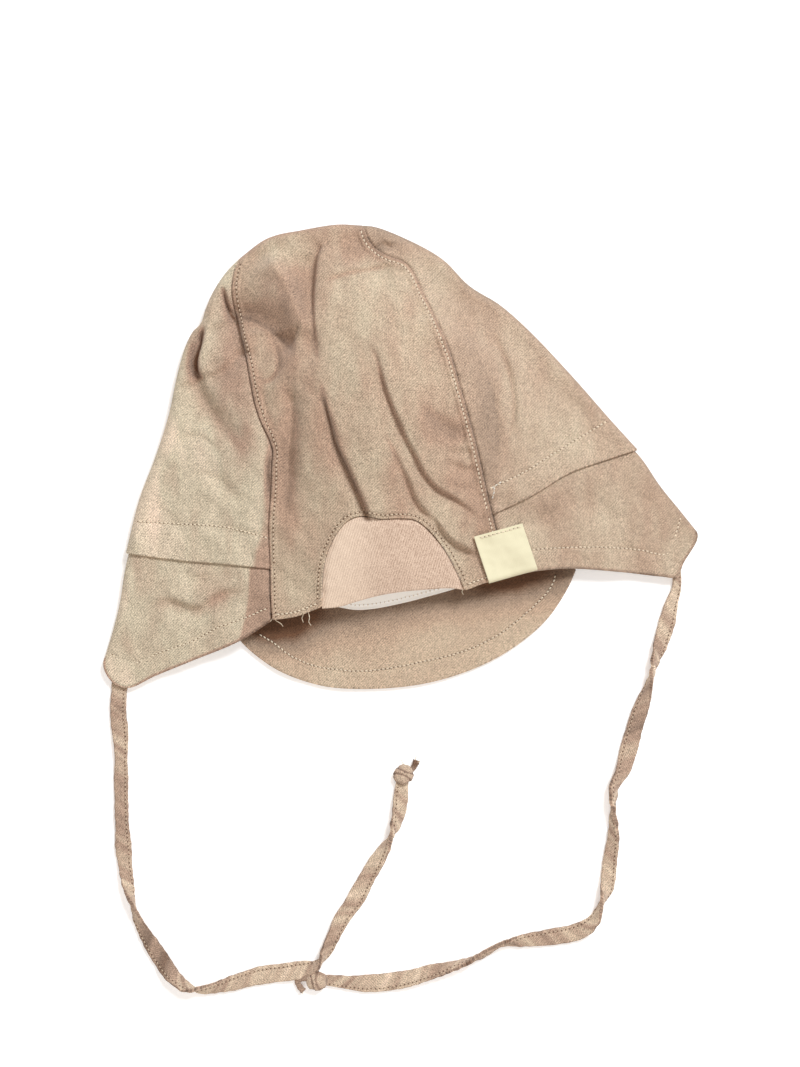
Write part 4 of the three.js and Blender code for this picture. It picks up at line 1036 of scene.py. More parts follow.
def make_back_patch():
    """The knitted patch that fills the arch in the back hem"""
    hem = Curve(PATCH_HEM)
    share = stations(arch.length, FINE) / arch.length
    top = arch.beside(share, SEAM_DRAW)
    first, last = arch.at(0.0)[0], arch.at(1.0)[0]
    bottom = hem.at(np.clip((top[:, 0] - first) / (last - first), 0.006, 0.994))
    rise = stations(PATCH_RISE, FINE) / PATCH_RISE
    plan = mix(bottom[None], top[None], rise[:, None, None])
    # paler towards its left end
    tones = 1 - smooth((plan[..., 0] + 26) / 24)
    return cloth_piece("back_patch", plan, True, (HEM_ROUND, 0.1, SEAM_ROUND, 0.1), 0.15, tones)


# Where the visor lies in the deep shade of the hat: centre, spread and what it adds to the tone
VISOR_SHADE = [
    ((-60, -68), (12, 10), 2.2), ((-42, -72), (12, 8), 1), ((62, -48), (13, 8), 2),
    ((43, -56), (14, 8), 0.8),
]


def visor_height(points):
    """Height of the visor's upper face over plan points: ripples, a raised rim, a stitch groove"""
    from_edge = nearest(visor_edge.line[::3], points)[0]
    height = VISOR_THICKNESS - 0.15 + 0.25 * (1 - smooth((from_edge - 5.5) / 2))
    height += ripples(points, 31, (14, 30), 0.16) + ripples(points, 32, (4, 8), 0.03)
    return height - groove(points, "visor", 0.32)


def make_visor():
    """The visor lies flat in front of the front hem, its lower side up"""
    crown_part = 1 - VISOR_ON_LEFT["part"] - VISOR_ON_RIGHT["part"]
    share = stations(visor_edge.length, 1.0) / visor_edge.length
    on_crown = (share - VISOR_ON_LEFT["part"]) / crown_part
    left = front_hem_left.at(VISOR_ON_LEFT["share"] * (1 - share / VISOR_ON_LEFT["part"]))
    right = front_hem_right.at(VISOR_ON_RIGHT["share"] * (1 - (1 - share) / VISOR_ON_RIGHT["part"]))
    near = np.where((on_crown < 0)[:, None], left, front_hem_crown.at(on_crown))
    near = np.where((on_crown > 1)[:, None], right, near) + np.array([0, VISOR_TUCKED_IN])
    rise = stations(VISOR_DEPTH, 0.8) / VISOR_DEPTH
    plan = mix(near[None], visor_edge.at(share)[None], rise[:, None, None])
    points = plan.reshape(-1, 2)
    height = visor_height(points).reshape(plan.shape[:2])
    inner = np.dstack([plan, np.full_like(height, VISOR_UNDERSIDE)])
    tones = np.clip(tone_of(points, "visor") * 0.5, -0.3, 0.6) + 0.2
    # painted shadow: the visor is darker near the front hem, where the hat above shades it
    tones += 1.6 * bell(nearest(front_hem_crown.line[::4], points)[0], 11)
    add_hills(tones, points, VISOR_SHADE)
    return sheet("visor", np.dstack([plan, height]), inner, plan, tones, (0.1, 0.5, 0.7, 0.5))


def band_height(points):
    """Height of the lining band over plan points: low at the hem, higher inside the hat"""
    from_hem = nearest(front_hem_crown.line[::3], points)[0]
    height = CLOTH + 1.6 + ripples(points, 41, (9, 22), 0.25) + 4.2 * smooth(from_hem / 9)
    return height - groove(points, "inner_band", 0.12)


def make_inner_band():
    """The white band that lines the front hem inside the mouth"""
    hem = front_hem_crown.at(mix(0.03, 0.97, np.linspace(0, 1, 130))) + np.array([0, 0.05])
    rise = stations(BAND_WIDTH, 0.7) / BAND_WIDTH
    plan = hem[None] + np.array([0, BAND_WIDTH]) * rise[:, None, None]
    height = band_height(plan.reshape(-1, 2)).reshape(plan.shape[:2])
    outer = np.dstack([plan, height])
    inner = outer - np.array([0, 0, BAND_CLOTH])
    return sheet("inner_band", outer, inner, plan, np.zeros(height.shape), (0.45, 0.2, 0.2, 0.2))


def make_label():
    """The woven label is folded over the back hem: an outer leg, a bend and an inner leg"""
    corner = np.array(LABEL_TOP_LEFT)
    across = np.array(LABEL_TOP_RIGHT) - corner
    down = np.array(LABEL_BOTTOM_LEFT) - corner
    length = np.linalg.norm(down)
    down = down / length
    leg = stations(length, 0.6, np.array([0, 0.2, 0.5]), OPEN_END)
    bend = np.linspace(0, math.pi, 14)[1:-1]
    back = np.linspace(length, length - LABEL_BACK, 12)
    reach = np.concatenate([leg, np.full(len(bend), length), back])[:, None]
    angle = np.concatenate([np.zeros(len(leg)), bend, np.full(len(back), math.pi)])[:, None]
    near_side = np.array([0, 0.012, 0.03])
    side = stations(1, 0.035, near_side, near_side)
    base = corner + across * side[:, None]
    on_hat = base[None] + down * np.minimum(reach, length - LABEL_PAST_HEM)[..., None]
    surface, _ = wall(on_hat, "label", True, dressed=False)
    plan = base[None] + down * reach[..., None]
    waves = ripples(plan.reshape(-1, 2), 51, (9, 18), 0.12).reshape(plan.shape[:2])
    curl = 0.55 * bell(side, 0.08) * np.cos(angle)
    faces = []
    for radius in (LABEL_FOLD_RADIUS, LABEL_FOLD_RADIUS - LABEL_CLOTH):
        height = surface[..., 2] - LABEL_SINK + np.cos(angle) * radius + waves + curl
        faces.append(np.dstack([plan + down * (np.sin(angle) * radius)[..., None], height]))
    places = grid_of(side * np.linalg.norm(across), reach + angle * 2)
    return sheet("label", *faces, places, np.zeros(waves.shape), (0.12, 0.2, 0.12, 0.2))


# Loose ends of thread, each with its points on or beside the hat and their heights
LOOSE_ENDS = [
    [(-53.6, -67.6, 9.5), (-54.6, -69.6, 9.3), (-56.4, -70.4, 8.2), (-57.4, -69.6, 7.6)],
    [(-53.4, -67.8, 9.5), (-52.2, -69.4, 9.2), (-50.4, -70.4, 8), (-49.6, -71.8, 6.6)],
    [(-38.8, -65.6, 10), (-38.2, -67.8, 9.4), (-38.8, -69.8, 8), (-37.8, -71.4, 6.6)],
    [(-40.6, -66, 10), (-41.6, -68.2, 9), (-41, -70, 7.6)],
    [(26.6, -55.6, 10), (25.6, -57, 9.2), (26.4, -58.4, 8.2)],
    [(6.4, -129.8, 1.5), (7.8, -129.6, 1.9), (9.6, -128.2, 1.5)],
    [(6.5, -129.4, 1.5), (6.3, -127.8, 2), (7, -126.6, 1.6)],
    [(2.6, -131.6, 3.4), (1.2, -130.4, 3), (0.2, -128.6, 2)],
    [(-41.4, -226.8, 1.2), (-41.8, -228.2, 0.9), (-41, -229.2, 0.5)],
    [(-44.6, -222.6, 1.2), (-45.8, -222.2, 0.9), (-46.6, -222.8, 0.5)],
]


def ring_angles(count):
    return np.linspace(0, 2 * math.pi, count + 1)[:-1]


def make_loose_ends(thread):
    """Fine thread ends left at the corners of the hem"""
    for index, table in enumerate(LOOSE_ENDS):
        share = np.linspace(0, len(table) - 1, 16)
        line = read_line(np.array(table, float), np.arange(len(table)), share)
        for _ in range(3):
            line[1:-1] = (line[:-2] + 2 * line[1:-1] + line[2:]) / 4
        angles = ring_angles(6)
        radius = 0.17 * np.linspace(1, 0.7, len(line))[:, None]
        side = unit(np.column_stack([right_of(np.gradient(line, axis=0)), np.zeros(len(line))]))
        rings = line[:, None] + side[:, None] * (radius * np.cos(angles))[..., None]
        rings = rings + UP * (radius * np.sin(angles))[..., None]
        places = grid_of(angles / 6, share[:, None])
        finished(swept(f"loose_end_{index + 1}", [rings], places), thread, "cotton")


# Stitches

def stitches(name, centres, headings, normals, length=STITCH_LENGTH, radius=THREAD_RADIUS):
    """Short stitches of thread, one at each centre, dipping into the cloth at both ends"""
    along = np.array([-1, -0.72, -0.25, 0.25, 0.72, 1])[:, None] * length / 2
    widths = np.array([0.45, 0.9, 1, 1, 0.9, 0.45])[:, None] * radius
    lifts = np.array([-1.6, -0.1, 0.55, 0.55, -0.1, -1.6])[:, None] * radius
    angles = ring_angles(6)
    sides = np.cross(headings, normals)[:, None, None]
    ups = normals[:, None, None]
    rings = centres[:, None, None] + headings[:, None, None] * along[..., None]
    rings = rings + sides * (widths * np.cos(angles))[..., None]
    rings = rings + ups * (lifts + widths * np.sin(angles))[..., None]
    numbers, quads = tube_faces(len(along), len(angles))
    caps = (numbers[0, ::-1], numbers[-1])
    ends = [cap[pick] for cap in caps for pick in ([0, 1, 2, 3], [0, 3, 4, 5])]
    faces = (np.arange(len(centres)) * numbers.size)[:, None, None] + np.vstack([quads, *ends])
    # stretched along the thread, so that its twist is fine
    one = grid_of(angles / 12, along * 500)
    places = np.broadcast_to(one, (len(centres), *one.shape))
    return new_mesh(name, rings.reshape(-1, 3), faces.reshape(-1, 4).tolist(), places)


def spaced_along(line, phase):
    """Places every pitch along a line of points, and the headings there"""
    gone = length_gone(line)
    wanted = np.arange(STITCH_PITCH * (phase + 0.5), gone[-1] - 0.4, STITCH_PITCH)
    ahead = read_line(line, gone, wanted + 0.3) - read_line(line, gone, wanted - 0.3)
    return read_line(line, gone, wanted), unit(ahead)


def surface_over(points, piece):
    """Height of a piece's outer face over plan points that lie on it"""
    if piece == "visor":
        return visor_height(points) + 0.1
    if piece == "inner_band":
        return band_height(points) + 0.05
    placed, _ = wall(points[:, None], piece, True, dressed=piece != "label")
    height = placed[:, 0, 2]
    if piece == "label":
        height = height + LABEL_FOLD_RADIUS - 0.8
    return height


def row_frames(rows, phase):
    """Centres, headings and normals along rows of stitches; phase is a share of the pitch"""
    reach = 0.6
    frames = []
    for index, row in enumerate(rows):
        dice = np.random.default_rng(RANDOM_SEED + index)
        at, ahead = spaced_along(row["points"], phase)
        right = right_of(ahead)
        at = at + right * dice.normal(0, 0.06, (len(at), 1))
        here, before, after, beside = (
            surface_over(at + shift, row["piece"])
            for shift in (0 * ahead, -reach * ahead, reach * ahead, reach * right)
        )
        heading = unit(np.column_stack([ahead * (2 * reach), after - before]))
        across = np.column_stack([right * reach, beside - here])
        frames.append((np.column_stack([at, here]), heading, unit(np.cross(across, heading))))
    return [np.vstack(parts) for parts in zip(*frames)]


def row_stitches(name, rows, thread, hole, hole_radius):
    """The stitches of several rows as one piece, and the needle holes between them as another, bodies that
    mostly paint the shade in the holes
    """
    centres, headings, normals = row_frames(rows, 0.5)
    slanted = unit(headings + 0.22 * np.cross(headings, normals))
    made = stitches(f"{name}_stitches", centres + normals * 0.08, slanted, normals)
    finished(made, thread, "cotton")
    centres, headings, normals = row_frames(rows, 0.0)
    made = stitches(f"{name}_holes", centres - normals * 0.04, headings, normals, HOLE_LENGTH, hole_radius)
    finished(made, hole, "cotton")


# Ties and knots

def tie_path(table):
    """Ring centres, turns, tones, width shares and headings along a tie"""
    curve = Curve([station[:2] for station in table], 30)
    marks = curve.gone[::30][:len(table)]
    count = int(curve.length / TIE_STEP)
    share = np.linspace(0, 1, count + 1)
    turn, tone, wide = (
        np.interp(share * curve.length, marks, [station[k] for station in table]) for k in (2, 3, 4)
    )
    kernel = np.array([1, 2, 3, 4, 3, 2, 1]) / 16
    turn = np.convolve(np.pad(turn, 3, mode="edge"), kernel, "valid")
    return curve.at(share), np.radians(turn), tone, wide, curve.heading(share)


def wandering(at, dice, shortest, longest):
    """A line of mixed waves, mostly between -1 and 1"""
    lengths = dice.uniform(shortest, longest, 5)
    starts = dice.uniform(0, 2 * math.pi, 5)
    return np.sin(at[..., None] * 2 * math.pi / lengths + starts).mean(-1) * 1.8


def strap_rings(table, seed):
    """Rings of a flat gathered strap that rests on the surface, with their tones"""
    centre, turn, tone, wide, ahead = tie_path(table)
    dice = np.random.default_rng(RANDOM_SEED + seed)
    gone = np.arange(len(centre)) * TIE_STEP
    width = TIE_WIDTH * wide + 0.3 * wandering(gone, dice, 9, 26) + 0.18 * wandering(gone, dice, 3.5, 6)
    width -= 0.9 * wide * np.abs(np.sin(turn))
    twisting = np.clip(np.abs(np.gradient(turn, gone)) / 0.15, 0, 1)
    turn = (turn + 0.08 * wandering(gone, dice, 12, 30))[:, None]
    right = np.column_stack([right_of(ahead), np.zeros(len(centre))])
    flat_way = right * np.cos(turn) + UP * np.sin(turn)
    thick_way = -right * np.sin(turn) + UP * np.cos(turn)
    width = width[:, None]
    half = (width * np.abs(np.sin(turn)) + TIE_THICKNESS * np.abs(np.cos(turn))) / 2
    middle = np.column_stack([centre, half + 0.2])
    # the section: its right edge, along the top to its left edge, and back below
    u = np.array([1, 0.93, 0.7, 0.3, -0.1, -0.42, -0.6, -0.78, -0.95, -1.0])
    v = np.array([0.35, 0.8, 0.95, 0.9, 0.92, 0.95, 0.72, 0.95, 0.8, 0.3])
    across = np.concatenate([u, u[::-1]])
    deep = np.concatenate([v, -v[::-1]])
    gathers = 0.35 + 0.5 * smooth(0.5 + 0.7 * wandering(gone, dice, 18, 40)) + 0.6 * twisting
    slanted = gone[:, None] + 2.6 * across
    ridge = 0.22 * gathers[:, None] * wandering(slanted, dice, 3.2, 7)
    thick = deep * TIE_THICKNESS * (1 + 0.7 * np.abs(np.sin(turn))) / 2 + ridge
    rings = middle[:, None] + flat_way[:, None] * (across * width / 2)[..., None]
    rings = rings + thick_way[:, None] * thick[..., None]
    rings[..., 2] = np.maximum(rings[..., 2], 0.02)
    places = grid_of(across * TIE_WIDTH / 2, gone[:, None])
    # painted shade and painted highlight: darker in the hollows of the gathers and lighter on their ridges,
    # and painted shade along the edges and in the stitch lines' grooves
    tones = tone[:, None] + 0.4 * wandering(slanted, dice, 7, 20) - 2.2 * ridge
    tones = tones + 1.1 * (np.abs(across) > 0.98) + 0.4 * (np.abs(across + 0.6) < 0.01)
    return rings, places, np.clip(tones - 0.3, -0.9, 2.6), middle, thick_way


def strap_row(rings, thick_way, phase, dice):
    """Centres, headings and normals of the stitches near one edge, on both faces"""
    frames = []
    for index, face in ((6, 1), (13, -1)):
        at, ahead = spaced_along(np.column_stack([rings[:, index], thick_way * face]), phase)
        ahead = unit(ahead[:, :3])
        normal = unit(at[:, 3:] - (at[:, 3:] * ahead).sum(1, keepdims=True) * ahead)
        frames.append((at[:, :3] + normal * 0.03 + dice.normal(0, 0.03, (len(at), 3)), ahead, normal))
    return [np.vstack(parts) for parts in zip(*frames)]


def make_tie(side, table, place, seed, material, thread, hole):
    """A tie with its stitches and its knot"""
    rings, places, tones, middle, thick_way = strap_rings(table, seed)
    dice = np.random.default_rng(RANDOM_SEED + seed)
    name = f"tie_{side}"
    made = finished(swept(name, [rings], places, tones), material, "cotton", name)
    knot = make_knot(f"tie_knot_{side}", place, seed, material)
    seam = stitches(f"tie_stitches_{side}", *strap_row(rings, thick_way, 0.5, dice), 1.15, 0.2)
    finished(seam, thread, "cotton")
    # the holes are dark bodies that paint the shade in the needle holes
    dots = stitches(f"tie_holes_{side}", *strap_row(rings, thick_way, 0.0, dice), HOLE_LENGTH, 0.25)
    finished(dots, hole, "cotton")


def knot_body(place, seed):
    """The wraps of a knot as a fat barrel along its heading: points, places and tones"""
    ahead = unit(np.array(place["ahead"]))
    lean = np.linspace(0.02, math.pi - 0.02, 46)[:, None]
    spin = ring_angles(64)[None]
    half_length, half_width, half_height = 4.1, 4.0, 2.7
    along = -np.sign(np.cos(lean)) * np.abs(np.cos(lean)) ** 0.8 * half_length
    # the wraps are steps in its radius
    first = -1.5 + 1.3 * np.sin(spin + 0.4)
    second = 1.9 + 0.8 * np.sin(spin + 2.4)
    step = smooth((along - first) / 0.35 + 0.5) - smooth((along - second) / 0.35 + 0.5)
    grooves = bell(along - first, 0.3) + bell(along - second, 0.3)
    bumps = 0.05 * np.sin(3 * spin + along * 0.8 + seed) + 0.03 * np.sin(7 * spin - along * 1.7)
    size = np.sin(lean) ** 0.6 * (0.9 + 0.13 * step - 0.05 * grooves + bumps)
    body = grid_of(size * np.cos(spin) * half_width, along + 0.5 * np.sin(spin),
                   half_height + 0.05 + size * np.sin(spin) * half_height)
    body = body @ np.array([[*right_of(ahead), 0], [*ahead, 0], UP]) + np.array([*place["at"], 0])
    # painted shade: darker in the grooves between the wraps and on the knot's flanks
    tones = 0.4 + 2.0 * grooves + 3 * bumps + 0.8 * np.abs(np.cos(spin)) ** 6
    return body, grid_of(4 * spin, along), tones


def knot_tail(place, seed):
    """The cut end, which comes out of the wraps and lies down: points, places and tones"""
    dice = np.random.default_rng(RANDOM_SEED + 10 * seed)
    curve = Curve(place["tail"], 20)
    share = np.linspace(0, 1, 18)
    height = mix(3.0, 1.3, smooth(share * 1.6)) + 0.15 * np.sin(share * 9)
    half = 1.15 + 0.3 * share + 0.1 * dice.normal(size=18)
    angles = ring_angles(12)
    middle = np.column_stack([curve.at(share), height])[:, None]
    aside = np.column_stack([right_of(curve.heading(share)), np.zeros(18)])[:, None]
    rings = middle + aside * (half[:, None] * np.cos(angles))[..., None]
    rings = rings + UP * (0.5 * np.sin(angles))[None, :, None]
    tones = mix(1.2, place["tone"], smooth(share[:, None] * 1.5)) + 0 * angles
    return rings, grid_of(angles * 1.2, share[:, None] * curve.length), tones


def make_knot(name, place, seed, material):
    """A plump overhand knot: wraps of the strap around its end, and the short cut end"""
    parts = (knot_body(place, seed), knot_tail(place, seed))
    places = np.vstack([part[1].reshape(-1, 2) for part in parts])
    tones = np.concatenate([part[2].ravel() for part in parts])
    made = swept(name, [part[0] for part in parts], places, np.clip(tones, -0.5, 2.8))
    return finished(made, material, "cotton", name)


# Materials

def linear(red, green, blue):
    """A colour from the usual 0 to 255 values"""
    values = [((c / 255 + 0.055) / 1.055) ** 2.4 if c > 10 else c / 3294.6 for c in (red, green, blue)]
    return (*values, 1.0)


class Tree:
    """Adds nodes to a node tree and joins them"""

    def __init__(self, tree):
        self.tree = tree
        tree.nodes.clear()

    def add(self, kind, inputs=None, **settings):
        node = self.tree.nodes.new(kind)
        for name, value in settings.items():
            setattr(node, name, value)
        for name, value in (inputs or {}).items():
            self.put(value, node.inputs[name])
        return node

    def put(self, value, socket):
        if isinstance(value, bpy.types.NodeSocket):
            self.tree.links.new(value, socket)
        else:
            socket.default_value = value

    def math(self, operation, *values, kind="ShaderNodeMath", **settings):
        node = self.add(kind, operation=operation, **settings)
        for index, value in enumerate(values):
            self.put(value, node.inputs[index])
        return node.outputs[0]

    def clamped(self, operation, *values):
        return self.math(operation, *values, use_clamp=True)

    def vector(self, operation, *values):
        return self.math(operation, *values, kind="ShaderNodeVectorMath")

    def scaled(self, vector, factor):
        node = self.add("ShaderNodeVectorMath", {0: vector, "Scale": factor}, operation="SCALE")
        return node.outputs[0]

    def turned(self, vector, angle):
        node = self.add("ShaderNodeVectorRotate", {"Vector": vector, "Angle": angle}, rotation_type="Z_AXIS")
        return node.outputs[0]

    def parts(self, vector):
        return self.add("ShaderNodeSeparateXYZ", {"Vector": vector}).outputs

    def noise(self, vector, scale, detail=2.0, roughness=0.5, output="Fac"):
        node = self.add("ShaderNodeTexNoise", {
            "Vector": vector, "Scale": scale, "Detail": detail, "Roughness": roughness,
        })
        return node.outputs[output]

    def blend(self, share, first, second, mode="MIX"):
        node = self.add("ShaderNodeMix", {0: share, 6: first, 7: second}, data_type="RGBA", blend_type=mode)
        node.clamp_factor = True
        return node.outputs[2]

    def cloth_place(self):
        return self.add("ShaderNodeUVMap", uv_map="cloth").outputs["UV"]

    def tone(self):
        node = self.add("ShaderNodeAttribute", attribute_type="GEOMETRY", attribute_name="tone")
        return node.outputs["Fac"]

    def use(self, group, inputs):
        return self.add("ShaderNodeGroup", inputs, node_tree=group).outputs


def new_group(name, inputs, outputs):
    """A shader node group: inputs with their kinds and values, and outputs, which are all numbers"""
    group = bpy.data.node_groups.new(name, "ShaderNodeTree")
    group.interface.new_socket(name="Vector", in_out="INPUT", socket_type="NodeSocketVector")
    for label, value in inputs.items():
        socket = group.interface.new_socket(name=label, in_out="INPUT", socket_type="NodeSocketFloat")
        socket.default_value = value
    for label in outputs:
        group.interface.new_socket(name=label, in_out="OUTPUT", socket_type="NodeSocketFloat")
    tree = Tree(group)
    return group, tree, tree.add("NodeGroupInput").outputs, tree.add("NodeGroupOutput").inputs


def weave_group():
    """A plain weave: each thread goes over and under, and threads differ a little"""
    group, tree, given, result = new_group(
        "Plain weave", {"Thread mm": 0.5, "Wander": 0.5}, ["Height", "Tint"])
    scaled = tree.scaled(given["Vector"], tree.math("DIVIDE", 1000.0, given["Thread mm"]))
    wander = tree.noise(scaled, 0.13, output="Color")
    pushed = tree.scaled(tree.vector("SUBTRACT", wander, (0.5, 0.5, 0.5)),
                         tree.math("MULTIPLY", given["Wander"], 4.0))
    threads = tree.vector("ADD", scaled, pushed)
    x, y, _ = tree.parts(threads)
    waves = [tree.math("SINE", tree.math("MULTIPLY", way, math.pi)) for way in (x, y)]
    over = tree.clamped("MULTIPLY_ADD", tree.math("MULTIPLY", *waves), 1.6, 0.5)
    rounds = [tree.math("ABSOLUTE", wave) for wave in waves]
    height = tree.add("ShaderNodeMix", {0: over, 2: rounds[1], 3: rounds[0]}, data_type="FLOAT").outputs[0]
    long_way = tree.noise(tree.vector("MULTIPLY", threads, (0.045, 1.0, 1.0)), 0.9, 1.0)
    cross_way = tree.noise(tree.vector("MULTIPLY", threads, (1.0, 0.045, 1.0)), 0.9, 1.0)
    slubs = tree.math("ADD", long_way, cross_way)
    twill = tree.math("SINE", tree.math("MULTIPLY", tree.math("SUBTRACT", x, y), math.pi))
    # partly painted shade: the tint is also darker where the threads dip under each other
    tint = tree.math("MULTIPLY_ADD", slubs, 0.14, tree.math("MULTIPLY", height, 0.4))
    tree.put(tree.math("MULTIPLY_ADD", slubs, 0.4, height), result["Height"])
    tree.put(tree.math("MULTIPLY_ADD", twill, 0.2, tint), result["Tint"])
    return group


def mottle_group():
    """Soft uneven dye in large clouds, and small flecks that lie along the bias"""
    group, tree, given, result = new_group("Mottled dye", {}, ["Clouds", "Flecks"])
    tree.put(tree.noise(given["Vector"], 42.0, 3.0, 0.55), result["Clouds"])
    cells = tree.vector("SNAP", tree.turned(given["Vector"], -0.8), (0.00018, 0.0003, 1.0))
    fleck = tree.add("ShaderNodeTexWhiteNoise", {"Vector": cells}, noise_dimensions="3D")
    tree.put(fleck.outputs["Value"], result["Flecks"])
    return group


def knit_group():
    """Fine ribs of a knitted cloth"""
    group, tree, given, result = new_group("Rib knit", {"Rib mm": 0.9}, ["Height", "Tint"])
    x, y, _ = tree.parts(tree.turned(given["Vector"], 0.3))
    per_metre = tree.math("DIVIDE", 1000.0 * math.pi, given["Rib mm"])
    wander = tree.noise(given["Vector"], 160.0, 1.0)
    across = tree.math("MULTIPLY_ADD", x, per_metre, tree.math("MULTIPLY", wander, 2.0))
    rib = tree.math("ABSOLUTE", tree.math("SINE", across))
    loops = tree.math("MULTIPLY", tree.math("MULTIPLY", y, per_metre), 1.7)
    leaning = tree.math("ADD", loops, tree.math("MULTIPLY", rib, 1.4))
    loop = tree.math("ABSOLUTE", tree.math("SINE", leaning))
    height = tree.math("MULTIPLY_ADD", loop, 0.35, rib)
    tree.put(height, result["Height"])
    # painted shade: the tint is darker in the hollows between ribs and loops
    tree.put(tree.math("MULTIPLY", height, 0.7), result["Tint"])
    return group


WEAVE = weave_group()
MOTTLE = mottle_group()
KNIT = knit_group()


def new_material(name):
    """A material and its empty tree"""
    material = bpy.data.materials.new(name)
    material.use_nodes = True
    return material, Tree(material.node_tree)


def add_shader(tree, colour, **inputs):
    """The shader at the end of a material; an input's name has _ for each space"""
    named = {name.replace("_", " "): value for name, value in inputs.items()}
    shader = tree.add("ShaderNodeBsdfPrincipled", {"Base Color": colour, **named})
    tree.add("ShaderNodeOutputMaterial", {"Surface": shader.outputs["BSDF"]})


def cloth_shader(tree, colour, height, distance, roughness, sheen, tint, painted_glow=0.0):
    """The shader at the end of every cloth, with an optional painted glow: light that the cloth gives off
    though it is no lamp
    """
    bump = tree.add("ShaderNodeBump", {"Strength": 1.0, "Distance": distance, "Height": height})
    add_shader(
        tree, colour, Roughness=roughness, Normal=bump.outputs["Normal"], Sheen_Weight=sheen,
        Sheen_Roughness=0.55, Sheen_Tint=tint, Emission_Color=colour, Emission_Strength=painted_glow,
        Specular_IOR_Level=0.12,
    )


PALE_ROSE = (238, 211, 188)
# the brown is painted shade, the darkest tone of the cloth
PAINTED_SHADE_BROWN = (108, 76, 55)
PALE_JERSEY = (250, 228, 204)
# How much the flecks and the threads of the weave change the colour, and their mean
FLECK_SHARE = 1.05
THREAD_SHARE = 0.8
MEAN_GRAIN = 0.865


def cotton(name, sand, rose):
    """Washed cotton: tone -1 is a pale rose, 0 sand, 1 rose, 2 a dusky rose that is partly painted shade,
    and 3 a brown that is painted shade
    """
    material, tree = new_material(name)
    place = tree.cloth_place()
    tone = tree.tone()
    dye = tree.use(MOTTLE, {"Vector": place})
    weave = tree.use(WEAVE, {"Vector": place, "Thread mm": 0.6, "Wander": 0.5})
    cloudy = tree.clamped("MULTIPLY_ADD", tree.math("SUBTRACT", dye["Clouds"], 0.5), 1.1, tone)
    colour = tree.blend(cloudy, linear(*sand), linear(*rose))
    dusky_dye_and_shade = [0.82 * channel for channel in rose]
    for share, next_colour in (
        (tree.clamped("MULTIPLY", tone, -1.0), PALE_ROSE),
        (tree.clamped("SUBTRACT", tone, 1.0), dusky_dye_and_shade),
        (tree.clamped("SUBTRACT", tone, 2.0), PAINTED_SHADE_BROWN),
    ):
        colour = tree.blend(share, colour, linear(*next_colour))
    flecks = tree.math("MULTIPLY", dye["Flecks"], FLECK_SHARE)
    grain = tree.math("MULTIPLY_ADD", weave["Tint"], THREAD_SHARE, flecks)
    grain = tree.math("MULTIPLY_ADD", tree.math("SUBTRACT", grain, MEAN_GRAIN), 0.9, 1.0)
    shade = tree.add("ShaderNodeCombineXYZ", {"X": grain, "Y": grain, "Z": grain})
    colour = tree.blend(1.0, colour, shade.outputs[0], "MULTIPLY")
    cloth_shader(tree, colour, weave["Height"], 0.00011, 0.92, 0.25, (1.0, 0.95, 0.88, 1.0))
    return material


def knitted(name, light, dark):
    """Ribbed jersey, paler where its tone is higher"""
    material, tree = new_material(name)
    place = tree.cloth_place()
    dye = tree.use(MOTTLE, {"Vector": place})
    knit = tree.use(KNIT, {"Vector": place, "Rib mm": 1.0})
    loops = tree.math("MULTIPLY", knit["Tint"], 0.75)
    share = tree.math("MULTIPLY_ADD", dye["Clouds"], 0.4, loops)
    share = tree.clamped("MULTIPLY_ADD", tree.math("SUBTRACT", dye["Flecks"], 0.53), 1.2, share)
    colour = tree.blend(share, linear(*dark), linear(*light))
    colour = tree.blend(tree.math("MULTIPLY", tree.tone(), 0.45), colour, linear(*PALE_JERSEY))
    cloth_shader(tree, colour, knit["Height"], 0.00012, 0.95, 0.3, (1.0, 0.95, 0.9, 1.0))
    return material


def woven(name, light, dark, thread, depth, painted_glow=0.0):
    """A plain woven cloth of one colour"""
    material, tree = new_material(name)
    weave = tree.use(WEAVE, {"Vector": tree.cloth_place(), "Thread mm": thread, "Wander": 0.15})
    colour = tree.blend(weave["Tint"], linear(*dark), linear(*light))
    cloth_shader(tree, colour, weave["Height"], depth, 0.85, 0.15, (1.0, 1.0, 0.95, 1.0), painted_glow)
    return material


def thread_material(name, light, dark, painted_glow=0.0):
    """Twisted sewing thread"""
    material, tree = new_material(name)
    wave = tree.add("ShaderNodeTexWave", {"Vector": tree.cloth_place(), "Scale": 900.0, "Distortion": 1.0},
                    wave_type="BANDS", bands_direction="DIAGONAL").outputs["Fac"]
    colour = tree.blend(wave, linear(*dark), linear(*light))
    cloth_shader(tree, colour, wave, 0.00003, 0.7, 0.1, (1.0, 1.0, 1.0, 1.0), painted_glow)
    return material


def floor_material():
    material, tree = new_material("Plain pale floor")
    grain = tree.noise(tree.add("ShaderNodeTexCoord").outputs["Object"], 40.0)
    colour = tree.blend(grain, (0.955, 0.955, 0.955, 1), (0.97, 0.97, 0.97, 1))
    add_shader(tree, colour, Roughness=0.9, Specular_IOR_Level=0.1,
               Emission_Color=(1.0, 0.99, 0.98, 1.0), Emission_Strength=0.3)
    return material


# Camera, floor and light

def make_camera():
    camera = bpy.data.objects.new("camera", bpy.data.cameras.new("camera"))
    bpy.context.scene.collection.objects.link(camera)
    camera.location = CAMERA_PLACE
    camera.rotation_euler = (0, 0, 0)
    camera.data.lens = CAMERA_LENS
    camera.data.sensor_width = 36
    camera.data.sensor_fit = "AUTO"
    camera.data.clip_start = 0.05
    bpy.context.scene.camera = camera


